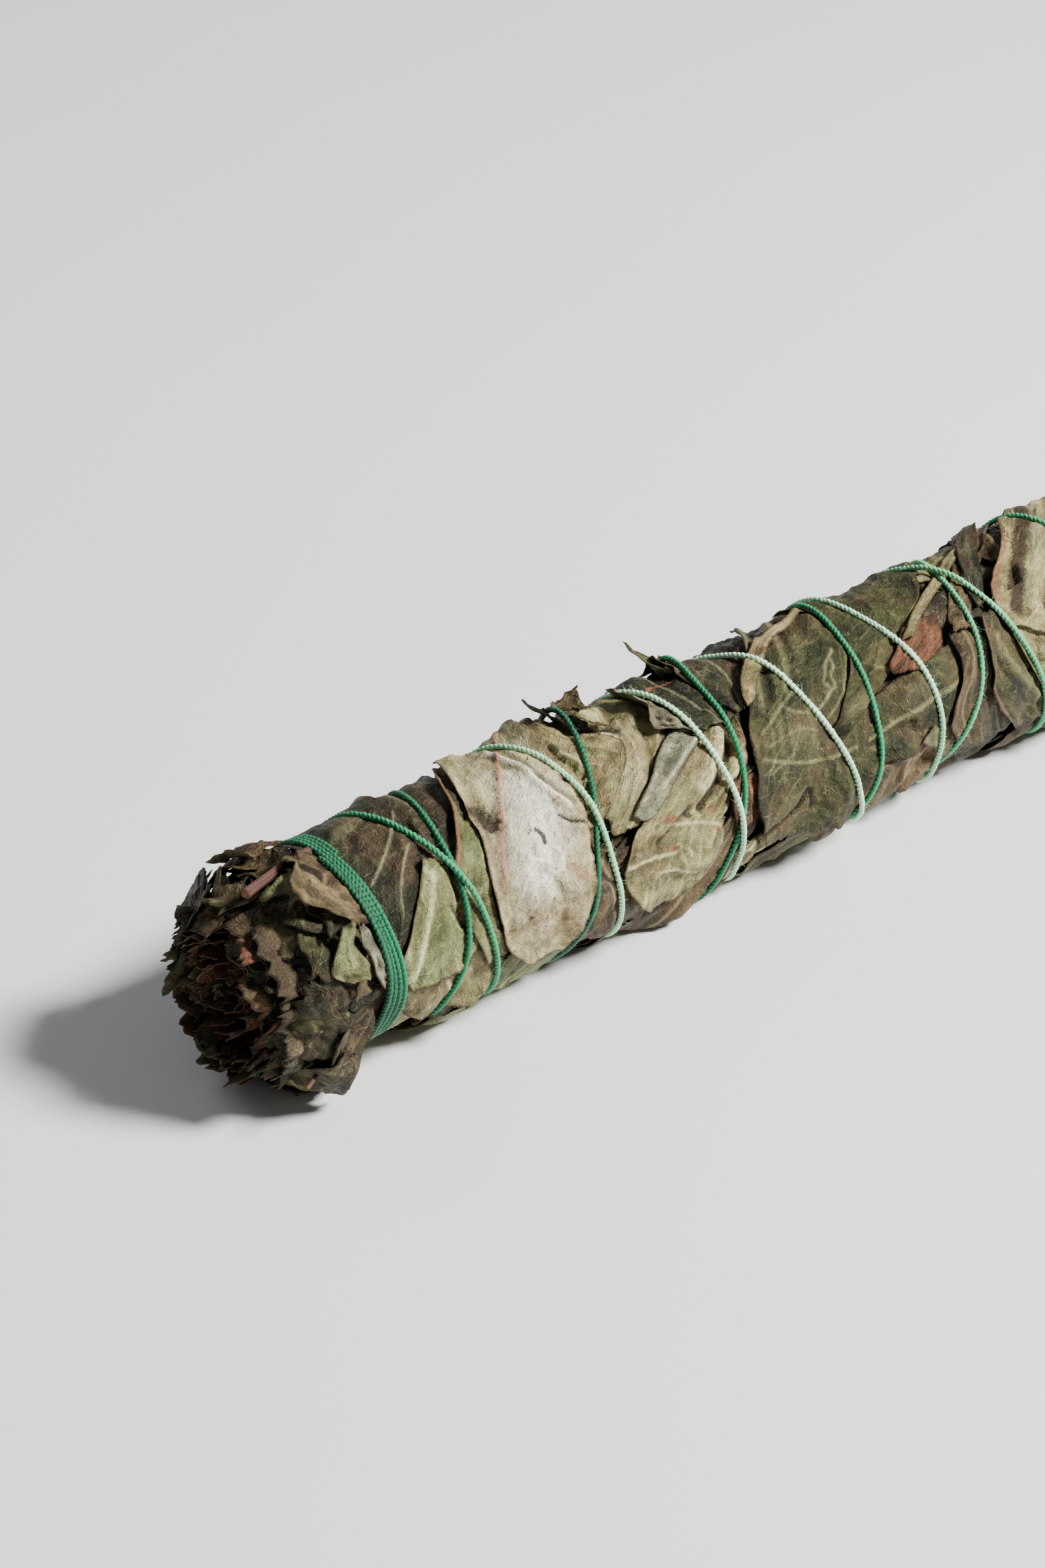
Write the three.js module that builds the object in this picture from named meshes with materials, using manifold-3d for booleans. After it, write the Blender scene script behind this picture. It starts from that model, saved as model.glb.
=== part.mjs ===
import * as THREE from 'three';
import { mergeVertices } from 'three/addons/utils/BufferGeometryUtils.js';
import Module from 'manifold-3d';

const wasm = await Module();
wasm.setup();

// A bundle of dried sage lying on its side. Lengths are in millimetres, angles in degrees.
// The bundle runs along X. "around" is the angle from the top towards -Y, seen from +X.

// Driving sizes.
const BUNDLE_LENGTH = 220;
const STEM_OVERHANG = 8.5;
const PACK_RADIUS = 12.6;
const LEAF_THICKNESS = 0.5;
const GAP = 0.3;
const THREAD_DIAMETER = 1.0;
const BAND_INSET = 18;
const BAND_TURNS = 3;
const STEM_DIAMETER = 3.6;
const STEM_DEPTH = 5.4;
const STEM_TAPER = 0.6;

// Leaf layers under the pressed leaves, and how far round the bundle those reach.
const LAYERS_BELOW = 2;
const UNDER_HALF_ANGLE = 34;

const HALF = BUNDLE_LENGTH / 2;
const PACK_LENGTH = BUNDLE_LENGTH - 2 * STEM_OVERHANG;
const STEM_RING_RADIUS = PACK_RADIUS - STEM_DEPTH;
const LAYER_PITCH = LEAF_THICKNESS + GAP;
const THREAD_RADIUS = THREAD_DIAMETER / 2;
const BAND_PITCH = THREAD_DIAMETER * 1.15;
const BAND_CENTRE = HALF - BAND_INSET;
const BAND_HALF_WIDTH = (BAND_TURNS * BAND_PITCH + THREAD_DIAMETER) / 2;
const SPIRAL_SPAN = 2 * (BAND_CENTRE - BAND_HALF_WIDTH - GAP - THREAD_DIAMETER);
const UNDER_SPAN = 2 * (BAND_CENTRE - BAND_HALF_WIDTH) - 6;

const COLOURS = {
  dark: 0x4a4738, olive: 0x5f6249, tan: 0x857459, pale: 0xb3a68c, green: 0x8f8f6c, brown: 0x5a4636,
  stem: 0x6e4c45, thread: 0x4fa880,
};

function leafMaterial(colour) {
  return new THREE.MeshStandardMaterial({ color: COLOURS[colour], roughness: 0.85, metalness: 0 });
}

function onBundle(x, around, radius) {
  const angle = THREE.MathUtils.degToRad(around);
  return new THREE.Vector3(x, -radius * Math.sin(angle), radius * Math.cos(angle));
}

// A closed sheet over a grid: point(u, v, level) gives the outer side at level 1, the inner at 0.
function closedSheet(point, rows, columns) {
  const positions = [];
  const index = [];
  const stride = columns + 1;
  const levelSize = (rows + 1) * stride;
  for (const level of [0, 1]) {
    for (let i = 0; i <= rows; i += 1) {
      for (let j = 0; j <= columns; j += 1) {
        positions.push(...point(i / rows, j / columns, level).toArray());
      }
    }
  }
  const at = (i, j, level) => level * levelSize + i * stride + j;
  const quad = (a, b, c, d) => index.push(a, b, c, a, c, d);
  for (let i = 0; i < rows; i += 1) {
    for (let j = 0; j < columns; j += 1) {
      quad(at(i, j, 1), at(i, j + 1, 1), at(i + 1, j + 1, 1), at(i + 1, j, 1));
      quad(at(i, j, 0), at(i + 1, j, 0), at(i + 1, j + 1, 0), at(i, j + 1, 0));
    }
    quad(at(i, 0, 0), at(i, 0, 1), at(i + 1, 0, 1), at(i + 1, 0, 0));
    quad(at(i, columns, 0), at(i + 1, columns, 0), at(i + 1, columns, 1), at(i, columns, 1));
  }
  for (let j = 0; j < columns; j += 1) {
    quad(at(0, j, 0), at(0, j + 1, 0), at(0, j + 1, 1), at(0, j, 1));
    quad(at(rows, j, 0), at(rows, j, 1), at(rows, j + 1, 1), at(rows, j + 1, 0));
  }
  const geometry = new THREE.BufferGeometry();
  geometry.setAttribute('position', new THREE.Float32BufferAttribute(positions, 3));
  geometry.setIndex(index);
  return geometry;
}

function toSolid(geometry) {
  const bare = geometry.clone();
  bare.deleteAttribute('normal');
  bare.deleteAttribute('uv');
  const merged = mergeVertices(bare, 1e-5);
  const vertProperties = new Float32Array(merged.attributes.position.array);
  const triVerts = new Uint32Array(merged.index.array);
  return new wasm.Manifold(new wasm.Mesh({ numProp: 3, vertProperties, triVerts }));
}

function toGeometry(solid) {
  const mesh = solid.getMesh();
  const geometry = new THREE.BufferGeometry();
  geometry.setAttribute('position', new THREE.BufferAttribute(new Float32Array(mesh.vertProperties), 3));
  geometry.setIndex(new THREE.BufferAttribute(new Uint32Array(mesh.triVerts), 1));
  return geometry;
}

// A closed tube round a list of points, with flat ends.
function tube(points, radius, sides) {
  const positions = [];
  const index = [];
  points.forEach((point, i) => {
    const before = points[Math.max(i - 1, 0)];
    const after = points[Math.min(i + 1, points.length - 1)];
    const along = after.clone().sub(before).normalize();
    const outward = new THREE.Vector3(0, point.y, point.z).normalize();
    const side = along.clone().cross(outward).normalize();
    const up = side.clone().cross(along).normalize();
    for (let k = 0; k < sides; k += 1) {
      const angle = (k / sides) * 2 * Math.PI;
      const corner = point.clone();
      corner.addScaledVector(side, radius * Math.cos(angle));
      corner.addScaledVector(up, radius * Math.sin(angle));
      positions.push(...corner.toArray());
    }
  });
  for (let i = 0; i + 1 < points.length; i += 1) {
    for (let k = 0; k < sides; k += 1) {
      const next = (k + 1) % sides;
      const [a, b, c, d] = [i * sides + k, i * sides + next, (i + 1) * sides + next, (i + 1) * sides + k];
      index.push(a, c, b, a, d, c);
    }
  }
  const last = (points.length - 1) * sides;
  for (let k = 1; k + 1 < sides; k += 1) {
    index.push(0, k, k + 1, last, last + k + 1, last + k);
  }
  const geometry = new THREE.BufferGeometry();
  geometry.setAttribute('position', new THREE.Float32BufferAttribute(positions, 3));
  geometry.setIndex(index);
  return geometry;
}

// ---- Where the outer leaves lie ----

const ROUND_RADIUS = 16;
// The leaves are laid out for a bundle of LAYOUT_LENGTH, and the layout stretches with the bundle.
const LAYOUT_LENGTH = 220;
const LAYOUT_STRETCH = BUNDLE_LENGTH / LAYOUT_LENGTH;
// A leaf's facets span at most ARC_STEP round the bundle, so that the layers stay clear of each other.
const ARC_STEP = 4;
const LENGTH_STEP = 8;
// Rows stand closer together towards the tips, where the outline turns fastest.
const TIP_CROWDING = 0.45;
const LEAF_TIP_SHARE = 0.05;

// at: place along the bundle as a share of its half length. around: degrees from the top.
// turn: the leaf's lie, from the bundle's axis towards growing "around".
const LEAVES = [
  // First the leaves that lie deepest.
  { name: 'leaf_inner_1', at: -0.78, around: 10, length: 52, width: 26, turn: -50, colour: 'dark' },
  { name: 'leaf_inner_2', at: -0.62, around: 120, length: 60, width: 26, turn: -20, colour: 'tan' },
  { name: 'leaf_inner_3', at: -0.3, around: 185, length: 62, width: 26, turn: -12, colour: 'dark' },
  { name: 'leaf_inner_4', at: -0.42, around: 285, length: 60, width: 27, turn: -18, colour: 'olive' },
  { name: 'leaf_inner_5', at: 0.05, around: 110, length: 58, width: 26, turn: -25, colour: 'brown' },
  { name: 'leaf_inner_6', at: 0.2, around: 250, length: 60, width: 27, turn: -20, colour: 'dark' },
  { name: 'leaf_inner_7', at: 0.35, around: 165, length: 56, width: 25, turn: -15, colour: 'olive' },
  { name: 'leaf_inner_8', at: 0.3, around: 30, length: 54, width: 24, turn: -30, colour: 'brown' },
  { name: 'leaf_inner_9', at: 0.71, around: 90, length: 56, width: 26, turn: -20, colour: 'olive' },
  { name: 'leaf_inner_10', at: 0.72, around: 232, length: 52, width: 26, turn: -15, colour: 'dark' },
  { name: 'leaf_inner_11', at: -0.7, around: 225, length: 50, width: 26, turn: -15, colour: 'dark' },
  // Then the leaves that show.
  { name: 'leaf_veined_dark', at: -0.8, around: 335, length: 46, width: 20, turn: -45, colour: 'dark' },
  { name: 'leaf_petal_green', at: -0.74, around: 84, length: 40, width: 19, turn: -60, colour: 'green' },
  { name: 'leaf_folded_1', at: -0.64, around: 16, length: 36, width: 9, turn: -64, colour: 'brown' },
  { name: 'leaf_pale_broad', at: -0.55, around: 35, length: 56, width: 21, turn: -62, colour: 'pale' },
  { name: 'leaf_folded_2', at: -0.46, around: 328, length: 44, width: 9, turn: -58, colour: 'tan' },
  { name: 'leaf_tan_spotted', at: -0.36, around: 90, length: 44, width: 25, turn: -28, colour: 'tan' },
  { name: 'leaf_tan_creased', at: -0.32, around: 18, length: 46, width: 17, turn: -42, colour: 'tan' },
  { name: 'leaf_olive_small', at: -0.2, around: 356, length: 30, width: 12, turn: -50, colour: 'olive' },
  { name: 'leaf_olive_broad', at: -0.08, around: 52, length: 62, width: 30, turn: -36, colour: 'olive' },
  { name: 'leaf_olive_second', at: 0.15, around: 12, length: 48, width: 22, turn: -30, colour: 'olive' },
  { name: 'leaf_olive_lower', at: 0.16, around: 96, length: 44, width: 22, turn: -24, colour: 'olive' },
  { name: 'leaf_grooved_1', at: 0.42, around: 350, length: 52, width: 18, turn: -26, colour: 'brown' },
  { name: 'leaf_pale_right', at: 0.45, around: 64, length: 56, width: 26, turn: -40, colour: 'green' },
  { name: 'leaf_right_end_1', at: 0.72, around: 30, length: 56, width: 26, turn: -22, colour: 'olive' },
  { name: 'leaf_right_end_2', at: 0.72, around: 310, length: 56, width: 26, turn: -20, colour: 'green' },
  { name: 'leaf_back_1', at: -0.78, around: 278, length: 44, width: 24, turn: -30, colour: 'olive' },
  { name: 'leaf_back_2', at: -0.2, around: 292, length: 60, width: 27, turn: -34, colour: 'green' },
  { name: 'leaf_back_3', at: 0.12, around: 306, length: 52, width: 24, turn: -36, colour: 'pale' },
  { name: 'leaf_back_4', at: 0.42, around: 292, length: 50, width: 22, turn: -26, colour: 'tan' },
];

function leafHalfWidth(leaf, u) {
  const belly = Math.sin(Math.PI * (0.06 + 0.88 * u)) ** 0.7;
  return (leaf.width / 2) * Math.max(belly, LEAF_TIP_SHARE);
}

// A point of a leaf on the unrolled bundle: X, and the distance round it at ROUND_RADIUS.
function leafUnrolled(leaf, u, v) {
  const along = (u - 0.5) * leaf.length;
  const across = (2 * v - 1) * leafHalfWidth(leaf, u);
  const turn = THREE.MathUtils.degToRad(leaf.turn);
  const x = leaf.at * HALF + (along * Math.cos(turn) - across * Math.sin(turn)) * LAYOUT_STRETCH;
  const round = along * Math.sin(turn) + across * Math.cos(turn);
  return [x, leaf.around + THREE.MathUtils.radToDeg(round / ROUND_RADIUS)];
}

function insideLeaf(leaf, x, around, margin) {
  const turn = THREE.MathUtils.degToRad(leaf.turn);
  const dx = (x - leaf.at * HALF) / LAYOUT_STRETCH;
  const degrees = ((((around - leaf.around) % 360) + 540) % 360) - 180;
  const round = THREE.MathUtils.degToRad(degrees) * ROUND_RADIUS;
  const along = dx * Math.cos(turn) + round * Math.sin(turn);
  const across = -dx * Math.sin(turn) + round * Math.cos(turn);
  const u = along / leaf.length + 0.5;
  const over = margin / leaf.length;
  if (u < -over || u > 1 + over) {
    return false;
  }
  return Math.abs(across) < leafHalfWidth(leaf, THREE.MathUtils.clamp(u, 0, 1)) + margin;
}

// Each leaf takes the lowest layer that is free where it lies. The pressed leaves below keep every
// layer but the lowest ones.
const CELL = 1;
const LEAF_MARGIN = 0.8;
const ALL_LAYERS = 0xffff;

function stackLeaves(leaves) {
  const columns = Math.ceil(2 * Math.PI * ROUND_RADIUS / CELL);
  const rows = Math.ceil(BUNDLE_LENGTH / CELL) + 1;
  const taken = new Uint16Array(rows * columns);
  const cellX = (i) => i * CELL - HALF;
  const cellAround = (j) => j * 360 / columns;
  const marginAngle = THREE.MathUtils.radToDeg(LEAF_MARGIN / ROUND_RADIUS);
  for (let i = 0; i < rows; i += 1) {
    for (let j = 0; j < columns; j += 1) {
      const below = Math.abs(cellAround(j) - 180) < UNDER_HALF_ANGLE + marginAngle;
      if (below && Math.abs(cellX(i)) < UNDER_SPAN / 2 + LEAF_MARGIN) {
        taken[i * columns + j] = ALL_LAYERS & ~((1 << LAYERS_BELOW) - 1);
      }
    }
  }
  return leaves.map((leaf) => {
    const covered = [];
    for (let i = 0; i < rows; i += 1) {
      for (let j = 0; j < columns; j += 1) {
        if (insideLeaf(leaf, cellX(i), cellAround(j), LEAF_MARGIN)) {
          covered.push(i * columns + j);
        }
      }
    }
    let layer = 0;
    while (covered.some((cell) => taken[cell] & (1 << layer))) {
      layer += 1;
    }
    covered.forEach((cell) => {
      taken[cell] |= 1 << layer;
    });
    return { ...leaf, layer };
  });
}

// ---- Sizes that follow from the layers ----

const LAID_LEAVES = stackLeaves(LEAVES);
const LAYER_COUNT = Math.max(...LAID_LEAVES.map((leaf) => leaf.layer)) + 1;
const LAYERS_TOP = PACK_RADIUS + LAYER_COUNT * LAYER_PITCH;
const THREAD_PATH_RADIUS = LAYERS_TOP + THREAD_RADIUS;
const THREAD_LIFT = THREAD_DIAMETER + GAP;
const THREAD_RECESS = 0.1;
const PRESSED_BY = 1;
const UNDER_OUTER_RADIUS = LAYERS_TOP + THREAD_DIAMETER;
const AXIS_HEIGHT = UNDER_OUTER_RADIUS - PRESSED_BY;
const THREAD_LOWEST = AXIS_HEIGHT - THREAD_RADIUS - THREAD_RECESS;

// ---- Stems and the packed inner leaves ----

const STEM_SIDES = 8;
const STEM_CHANNEL_RADIUS = STEM_DIAMETER / 2 + GAP;
// One stem in the middle and six round it; how far each end stops short of the bundle's ends.
const STEMS = [
  { short: [0, 6] }, { short: [4, 0] }, { short: [2, 5] }, { short: [5, 3] },
  { short: [1, 7] }, { short: [3, 2] }, { short: [4, 6] },
];

function stemCentre(number) {
  return number === 0 ? [0, 0] : [STEM_RING_RADIUS, (number - 1) * 60 + 20];
}

function stemMesh({ short }, number) {
  const [radius, around] = stemCentre(number);
  const length = BUNDLE_LENGTH - short[0] - short[1];
  const thick = STEM_DIAMETER / 2;
  const geometry = new THREE.CylinderGeometry(thick * STEM_TAPER, thick, length, STEM_SIDES);
  geometry.rotateZ(-Math.PI / 2);
  const mesh = new THREE.Mesh(geometry, leafMaterial('stem'));
  mesh.name = `stem_${number + 1}`;
  mesh.position.copy(onBundle((short[0] - short[1]) / 2, around, radius));
  return mesh;
}

const PACK_RIPPLE = 0.25;
const PACK_POINTS = 36;

function packMesh() {
  const outline = [];
  for (let i = 0; i < PACK_POINTS; i += 1) {
    const angle = (i / PACK_POINTS) * 2 * Math.PI;
    const radius = PACK_RADIUS - GAP - PACK_RIPPLE * (1 + Math.sin(5 * angle) * Math.cos(3 * angle));
    outline.push(new THREE.Vector2(radius * Math.cos(angle), radius * Math.sin(angle)));
  }
  const shape = new THREE.Shape(outline);
  STEMS.forEach((stem, number) => {
    const [radius, around] = stemCentre(number);
    const centre = onBundle(0, around, radius);
    const channel = [];
    for (let k = 0; k < STEM_SIDES; k += 1) {
      const angle = (k / STEM_SIDES) * 2 * Math.PI;
      const y = centre.y + STEM_CHANNEL_RADIUS * Math.cos(angle);
      const z = centre.z + STEM_CHANNEL_RADIUS * Math.sin(angle);
      channel.push(new THREE.Vector2(y, z));
    }
    shape.holes.push(new THREE.Path(channel));
  });
  const geometry = new THREE.ExtrudeGeometry(shape, { depth: PACK_LENGTH, bevelEnabled: false });
  geometry.applyMatrix4(new THREE.Matrix4().set(
    0, 0, 1, -PACK_LENGTH / 2,
    1, 0, 0, 0,
    0, 1, 0, 0,
    0, 0, 0, 1,
  ));
  const mesh = new THREE.Mesh(geometry, leafMaterial('brown'));
  mesh.name = 'packed_inner_leaves';
  return mesh;
}

// ---- Thread ----

const TURN_STEPS = 20;
const THREAD_SIDES = 5;
const CHANNEL_SIDES = 6;
const NOMINAL_SPAN = 177;
// Where the thread stands along the bundle at every quarter turn, for a spiral of NOMINAL_SPAN.
// The outward spiral starts below the left end and the returning one above the right end.
const OUTWARD = [
  -88.4, -85, -80.5, -74, -68, -60, -52, -49.5, -42, -35, -28.5, -24.5, -19, -13, -8, -1, 8, 12, 15.5, 19,
  25.5, 30, 34, 44, 53, 57, 61, 66, 72, 77, 82, 87, 88.4,
];
const OUTWARD_START = -180;
const OUTWARD_RANGE = [-150, 2700];
const RETURNING = [
  88.4, 87, 82, 77, 72, 67, 61.5, 48, 34.5, 26.5, 18, 14, 9, 4, -6, -13, -19.5, -24.5, -32, -38, -45,
  -55.5, -60, -67, -75, -80, -88.4,
];
const RETURNING_START = 0;
const RETURNING_RANGE = [0, 2286];
const CROSS_NEAR = 2.6;
const CROSS_FAR = 7;

function smoothStation(stations, position) {
  const i = Math.min(Math.floor(position), stations.length - 2);
  const t = position - i;
  const [b, c] = [stations[i], stations[i + 1]];
  const a = stations[i - 1] ?? 2 * b - c;
  const d = stations[i + 2] ?? 2 * c - b;
  const bend = (2 * a - 5 * b + 4 * c - d) * t * t + (3 * b - a - 3 * c + d) * t * t * t;
  return b + 0.5 * ((c - a) * t + bend);
}

function spiralX(stations, start, around) {
  const stretch = SPIRAL_SPAN / NOMINAL_SPAN;
  return smoothStation(stations, (around - start) / 90) * stretch;
}

// The distance along the bundle from a point of the outward spiral to the returning one.
function distanceToReturning(x, around) {
  let nearest = Infinity;
  for (let angle = ((around % 360) + 360) % 360; angle <= RETURNING_RANGE[1]; angle += 360) {
    nearest = Math.min(nearest, Math.abs(spiralX(RETURNING, RETURNING_START, angle) - x));
  }
  return nearest;
}

// Over the surface that the bundle lies on, the thread is pressed up into the leaves.
function pressedRadius(radius, around) {
  const down = -Math.cos(THREE.MathUtils.degToRad(around));
  return down > 0 ? Math.min(radius, THREAD_LOWEST / down) : radius;
}

function threadPoints(from, to, xAt, liftAt) {
  const count = Math.round((to - from) / 360 * TURN_STEPS);
  const points = [];
  for (let i = 0; i <= count; i += 1) {
    const around = from + (to - from) * i / count;
    const x = xAt(around);
    points.push(onBundle(x, around, pressedRadius(THREAD_PATH_RADIUS + liftAt(x, around), around)));
  }
  return points;
}

function crossingLift(x, around) {
  const distance = distanceToReturning(x, around);
  return THREAD_LIFT * (1 - THREE.MathUtils.smoothstep(distance, CROSS_NEAR, CROSS_FAR));
}

const noLift = () => 0;
const bandX = (centre) => (around) => centre + (around / 360 - BAND_TURNS / 2) * BAND_PITCH;

const THREADS = {
  thread_band_left: threadPoints(0, 360 * BAND_TURNS, bandX(-BAND_CENTRE), noLift),
  thread_band_right: threadPoints(0, 360 * BAND_TURNS, bandX(BAND_CENTRE), noLift),
  thread_returning: threadPoints(
    ...RETURNING_RANGE,
    (around) => spiralX(RETURNING, RETURNING_START, around), noLift,
  ),
  thread_outward: threadPoints(
    ...OUTWARD_RANGE,
    (around) => spiralX(OUTWARD, OUTWARD_START, around), crossingLift,
  ),
};

function threadMesh(name) {
  const material = new THREE.MeshStandardMaterial({ color: COLOURS.thread, roughness: 0.9, metalness: 0 });
  const mesh = new THREE.Mesh(tube(THREADS[name], THREAD_RADIUS, THREAD_SIDES), material);
  mesh.name = name;
  return mesh;
}

const KNOT_AROUND = 222;
const KNOT_SIZE = [2.8, 2.2, 1.6];

function knotMesh() {
  const geometry = new THREE.SphereGeometry(0.5, 10, 7);
  geometry.scale(...KNOT_SIZE);
  const material = new THREE.MeshStandardMaterial({ color: COLOURS.thread, roughness: 0.9, metalness: 0 });
  const mesh = new THREE.Mesh(geometry, material);
  mesh.name = 'thread_knot';
  const x = -BAND_CENTRE - BAND_HALF_WIDTH - GAP - KNOT_SIZE[0] / 2;
  mesh.position.copy(onBundle(x, KNOT_AROUND, LAYERS_TOP + KNOT_SIZE[2] / 2));
  mesh.rotation.x = THREE.MathUtils.degToRad(KNOT_AROUND);
  return mesh;
}

// ---- Outer leaves ----

function leafMesh(leaf) {
  const inner = PACK_RADIUS + leaf.layer * LAYER_PITCH;
  const turn = Math.abs(THREE.MathUtils.degToRad(leaf.turn));
  const rows = Math.ceil(leaf.length * Math.max(Math.sin(turn) / ARC_STEP, 1 / LENGTH_STEP));
  const columns = Math.max(2, Math.ceil(leaf.width * Math.cos(turn) / ARC_STEP));
  const point = (u, v, level) => {
    const crowded = u - TIP_CROWDING * Math.sin(2 * Math.PI * u) / (2 * Math.PI);
    const [x, around] = leafUnrolled(leaf, crowded, v);
    return onBundle(x, around, inner + level * LEAF_THICKNESS);
  };
  const mesh = new THREE.Mesh(closedSheet(point, rows, columns), leafMaterial(leaf.colour));
  mesh.name = leaf.name;
  return mesh;
}

// ---- Leaves below, pressed flat by the surface ----

const UNDER_COUNT = 5;
const UNDER_SPACING = 1.2;
const UNDER_ROWS = 6;
const UNDER_COLUMNS = 8;

function underLeafMesh(number, channels) {
  const pitch = UNDER_SPAN / UNDER_COUNT;
  const length = pitch - UNDER_SPACING;
  const centre = (number - (UNDER_COUNT - 1) / 2) * pitch;
  const inner = PACK_RADIUS + LAYERS_BELOW * LAYER_PITCH;
  const point = (u, v, level) => {
    const wide = Math.sin(Math.PI * (0.1 + 0.8 * u)) ** 0.6;
    const around = 180 + (2 * v - 1) * UNDER_HALF_ANGLE * wide;
    const x = centre + (u - 0.5) * length;
    const down = -Math.cos(THREE.MathUtils.degToRad(around));
    const belly = UNDER_OUTER_RADIUS - THREAD_DIAMETER * (2 * v - 1) ** 4;
    const outer = Math.min(belly, AXIS_HEIGHT / down);
    return onBundle(x, around, level === 1 ? outer : inner);
  };
  let solid = toSolid(closedSheet(point, UNDER_ROWS, UNDER_COLUMNS));
  channels.forEach((channel) => {
    solid = solid.subtract(channel);
  });
  // A channel that grazes the edge of the leaf can shave off a crumb, which is dropped.
  const [whole] = solid.decompose().sort((a, b) => b.volume() - a.volume());
  const mesh = new THREE.Mesh(toGeometry(whole), leafMaterial('dark'));
  mesh.name = `leaf_under_${number + 1}`;
  return mesh;
}

// ---- Leaf ends standing out of both ends of the pack ----

const END_LEAVES = 4;
const END_HALF_ANGLE = 32;
const END_NARROWING = 0.45;
const END_REACHES = [4.5, 6.5];
const END_THICKNESS = 2 * LEAF_THICKNESS;
const END_INNER_RADIUS = STEM_RING_RADIUS + STEM_DIAMETER / 2 + 2 * GAP;
// At the cut end the leaf ends spread, at the tip end they lean in beside the thinner stems.
const END_SPREAD = PACK_RADIUS - 2 * GAP - END_THICKNESS - END_INNER_RADIUS;
const END_LEAN = STEM_DIAMETER / 2 * (1 - STEM_TAPER);

function endLeafMesh(side, number) {
  const start = PACK_LENGTH / 2 + GAP;
  const reach = END_REACHES[number % END_REACHES.length];
  const middle = (number + (side > 0 ? 0.5 : 0)) * (360 / END_LEAVES);
  const point = (u, v, level) => {
    const around = middle + side * (2 * v - 1) * END_HALF_ANGLE * (1 - END_NARROWING * u);
    const radius = END_INNER_RADIUS + u * (side > 0 ? -END_LEAN : END_SPREAD) + level * END_THICKNESS;
    return onBundle(side * (start + u * reach), around, radius);
  };
  const mesh = new THREE.Mesh(closedSheet(point, 2, 5), leafMaterial('brown'));
  mesh.name = `leaf_end_${side > 0 ? 'right' : 'left'}_${number + 1}`;
  return mesh;
}

// ---- The bundle ----

const bundle = new THREE.Group();
bundle.add(packMesh());
STEMS.forEach((stem, number) => bundle.add(stemMesh(stem, number)));
LAID_LEAVES.forEach((leaf) => bundle.add(leafMesh(leaf)));
const channels = Object.values(THREADS).map(
  (points) => toSolid(tube(points, THREAD_RADIUS + GAP, CHANNEL_SIDES)),
);
for (let number = 0; number < UNDER_COUNT; number += 1) {
  bundle.add(underLeafMesh(number, channels));
}
for (const side of [-1, 1]) {
  for (let number = 0; number < END_LEAVES; number += 1) {
    bundle.add(endLeafMesh(side, number));
  }
}
Object.keys(THREADS).forEach((name) => bundle.add(threadMesh(name)));
bundle.add(knotMesh());

// The origin is the middle of the bottom of the bundle's box.
const box = new THREE.Box3().setFromObject(bundle);
const middle = box.getCenter(new THREE.Vector3());
bundle.position.set(-middle.x, -middle.y, -box.min.z);

export default bundle;
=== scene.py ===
"""A bundle of dried sage bound with variegated cotton thread, lying on a pale floor."""

import math

import bpy
import numpy as np
from mathutils import Matrix, Vector


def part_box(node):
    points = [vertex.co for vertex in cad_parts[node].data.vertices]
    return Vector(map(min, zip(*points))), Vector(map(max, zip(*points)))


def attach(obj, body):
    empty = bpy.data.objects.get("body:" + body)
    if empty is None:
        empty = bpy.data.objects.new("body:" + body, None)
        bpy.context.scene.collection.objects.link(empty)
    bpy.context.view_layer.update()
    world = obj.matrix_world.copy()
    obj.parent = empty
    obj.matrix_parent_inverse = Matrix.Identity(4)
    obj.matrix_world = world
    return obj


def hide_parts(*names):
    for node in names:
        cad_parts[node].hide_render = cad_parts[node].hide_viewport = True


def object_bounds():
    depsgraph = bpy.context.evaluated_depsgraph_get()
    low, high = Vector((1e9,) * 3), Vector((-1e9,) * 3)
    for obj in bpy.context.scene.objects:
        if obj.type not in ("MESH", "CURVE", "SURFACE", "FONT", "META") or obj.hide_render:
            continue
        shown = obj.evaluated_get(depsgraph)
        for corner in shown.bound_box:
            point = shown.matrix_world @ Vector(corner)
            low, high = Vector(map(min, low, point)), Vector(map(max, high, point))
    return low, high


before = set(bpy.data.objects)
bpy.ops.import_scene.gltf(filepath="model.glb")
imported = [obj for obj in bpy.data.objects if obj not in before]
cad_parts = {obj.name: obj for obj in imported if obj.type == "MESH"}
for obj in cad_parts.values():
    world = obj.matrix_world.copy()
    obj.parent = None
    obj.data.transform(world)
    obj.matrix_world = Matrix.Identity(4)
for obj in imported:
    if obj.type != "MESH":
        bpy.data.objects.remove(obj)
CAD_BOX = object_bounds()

# Lengths in this script are millimetres until to_world() turns them into metres.
# "around" is the angle in degrees from the top of the bundle towards the camera's side (-Y).
MM = 0.001

STEM_LOW, STEM_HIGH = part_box("stem_1")
AXIS_Y = (STEM_LOW[1] + STEM_HIGH[1]) / 2 / MM
AXIS_HEIGHT = (STEM_LOW[2] + STEM_HIGH[2]) / 2 / MM
HALF_LENGTH = (CAD_BOX[1][0] - CAD_BOX[0][0]) / 2 / MM
BAND_LOW, BAND_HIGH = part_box("thread_band_left")
BAND_CENTRE = -(BAND_LOW[0] + BAND_HIGH[0]) / 2 / MM


# ---- Smooth noise and curves ----

LATTICE = 64
# The most that three layers of noise add up to.
LAYERED_PEAK = 1.75


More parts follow.
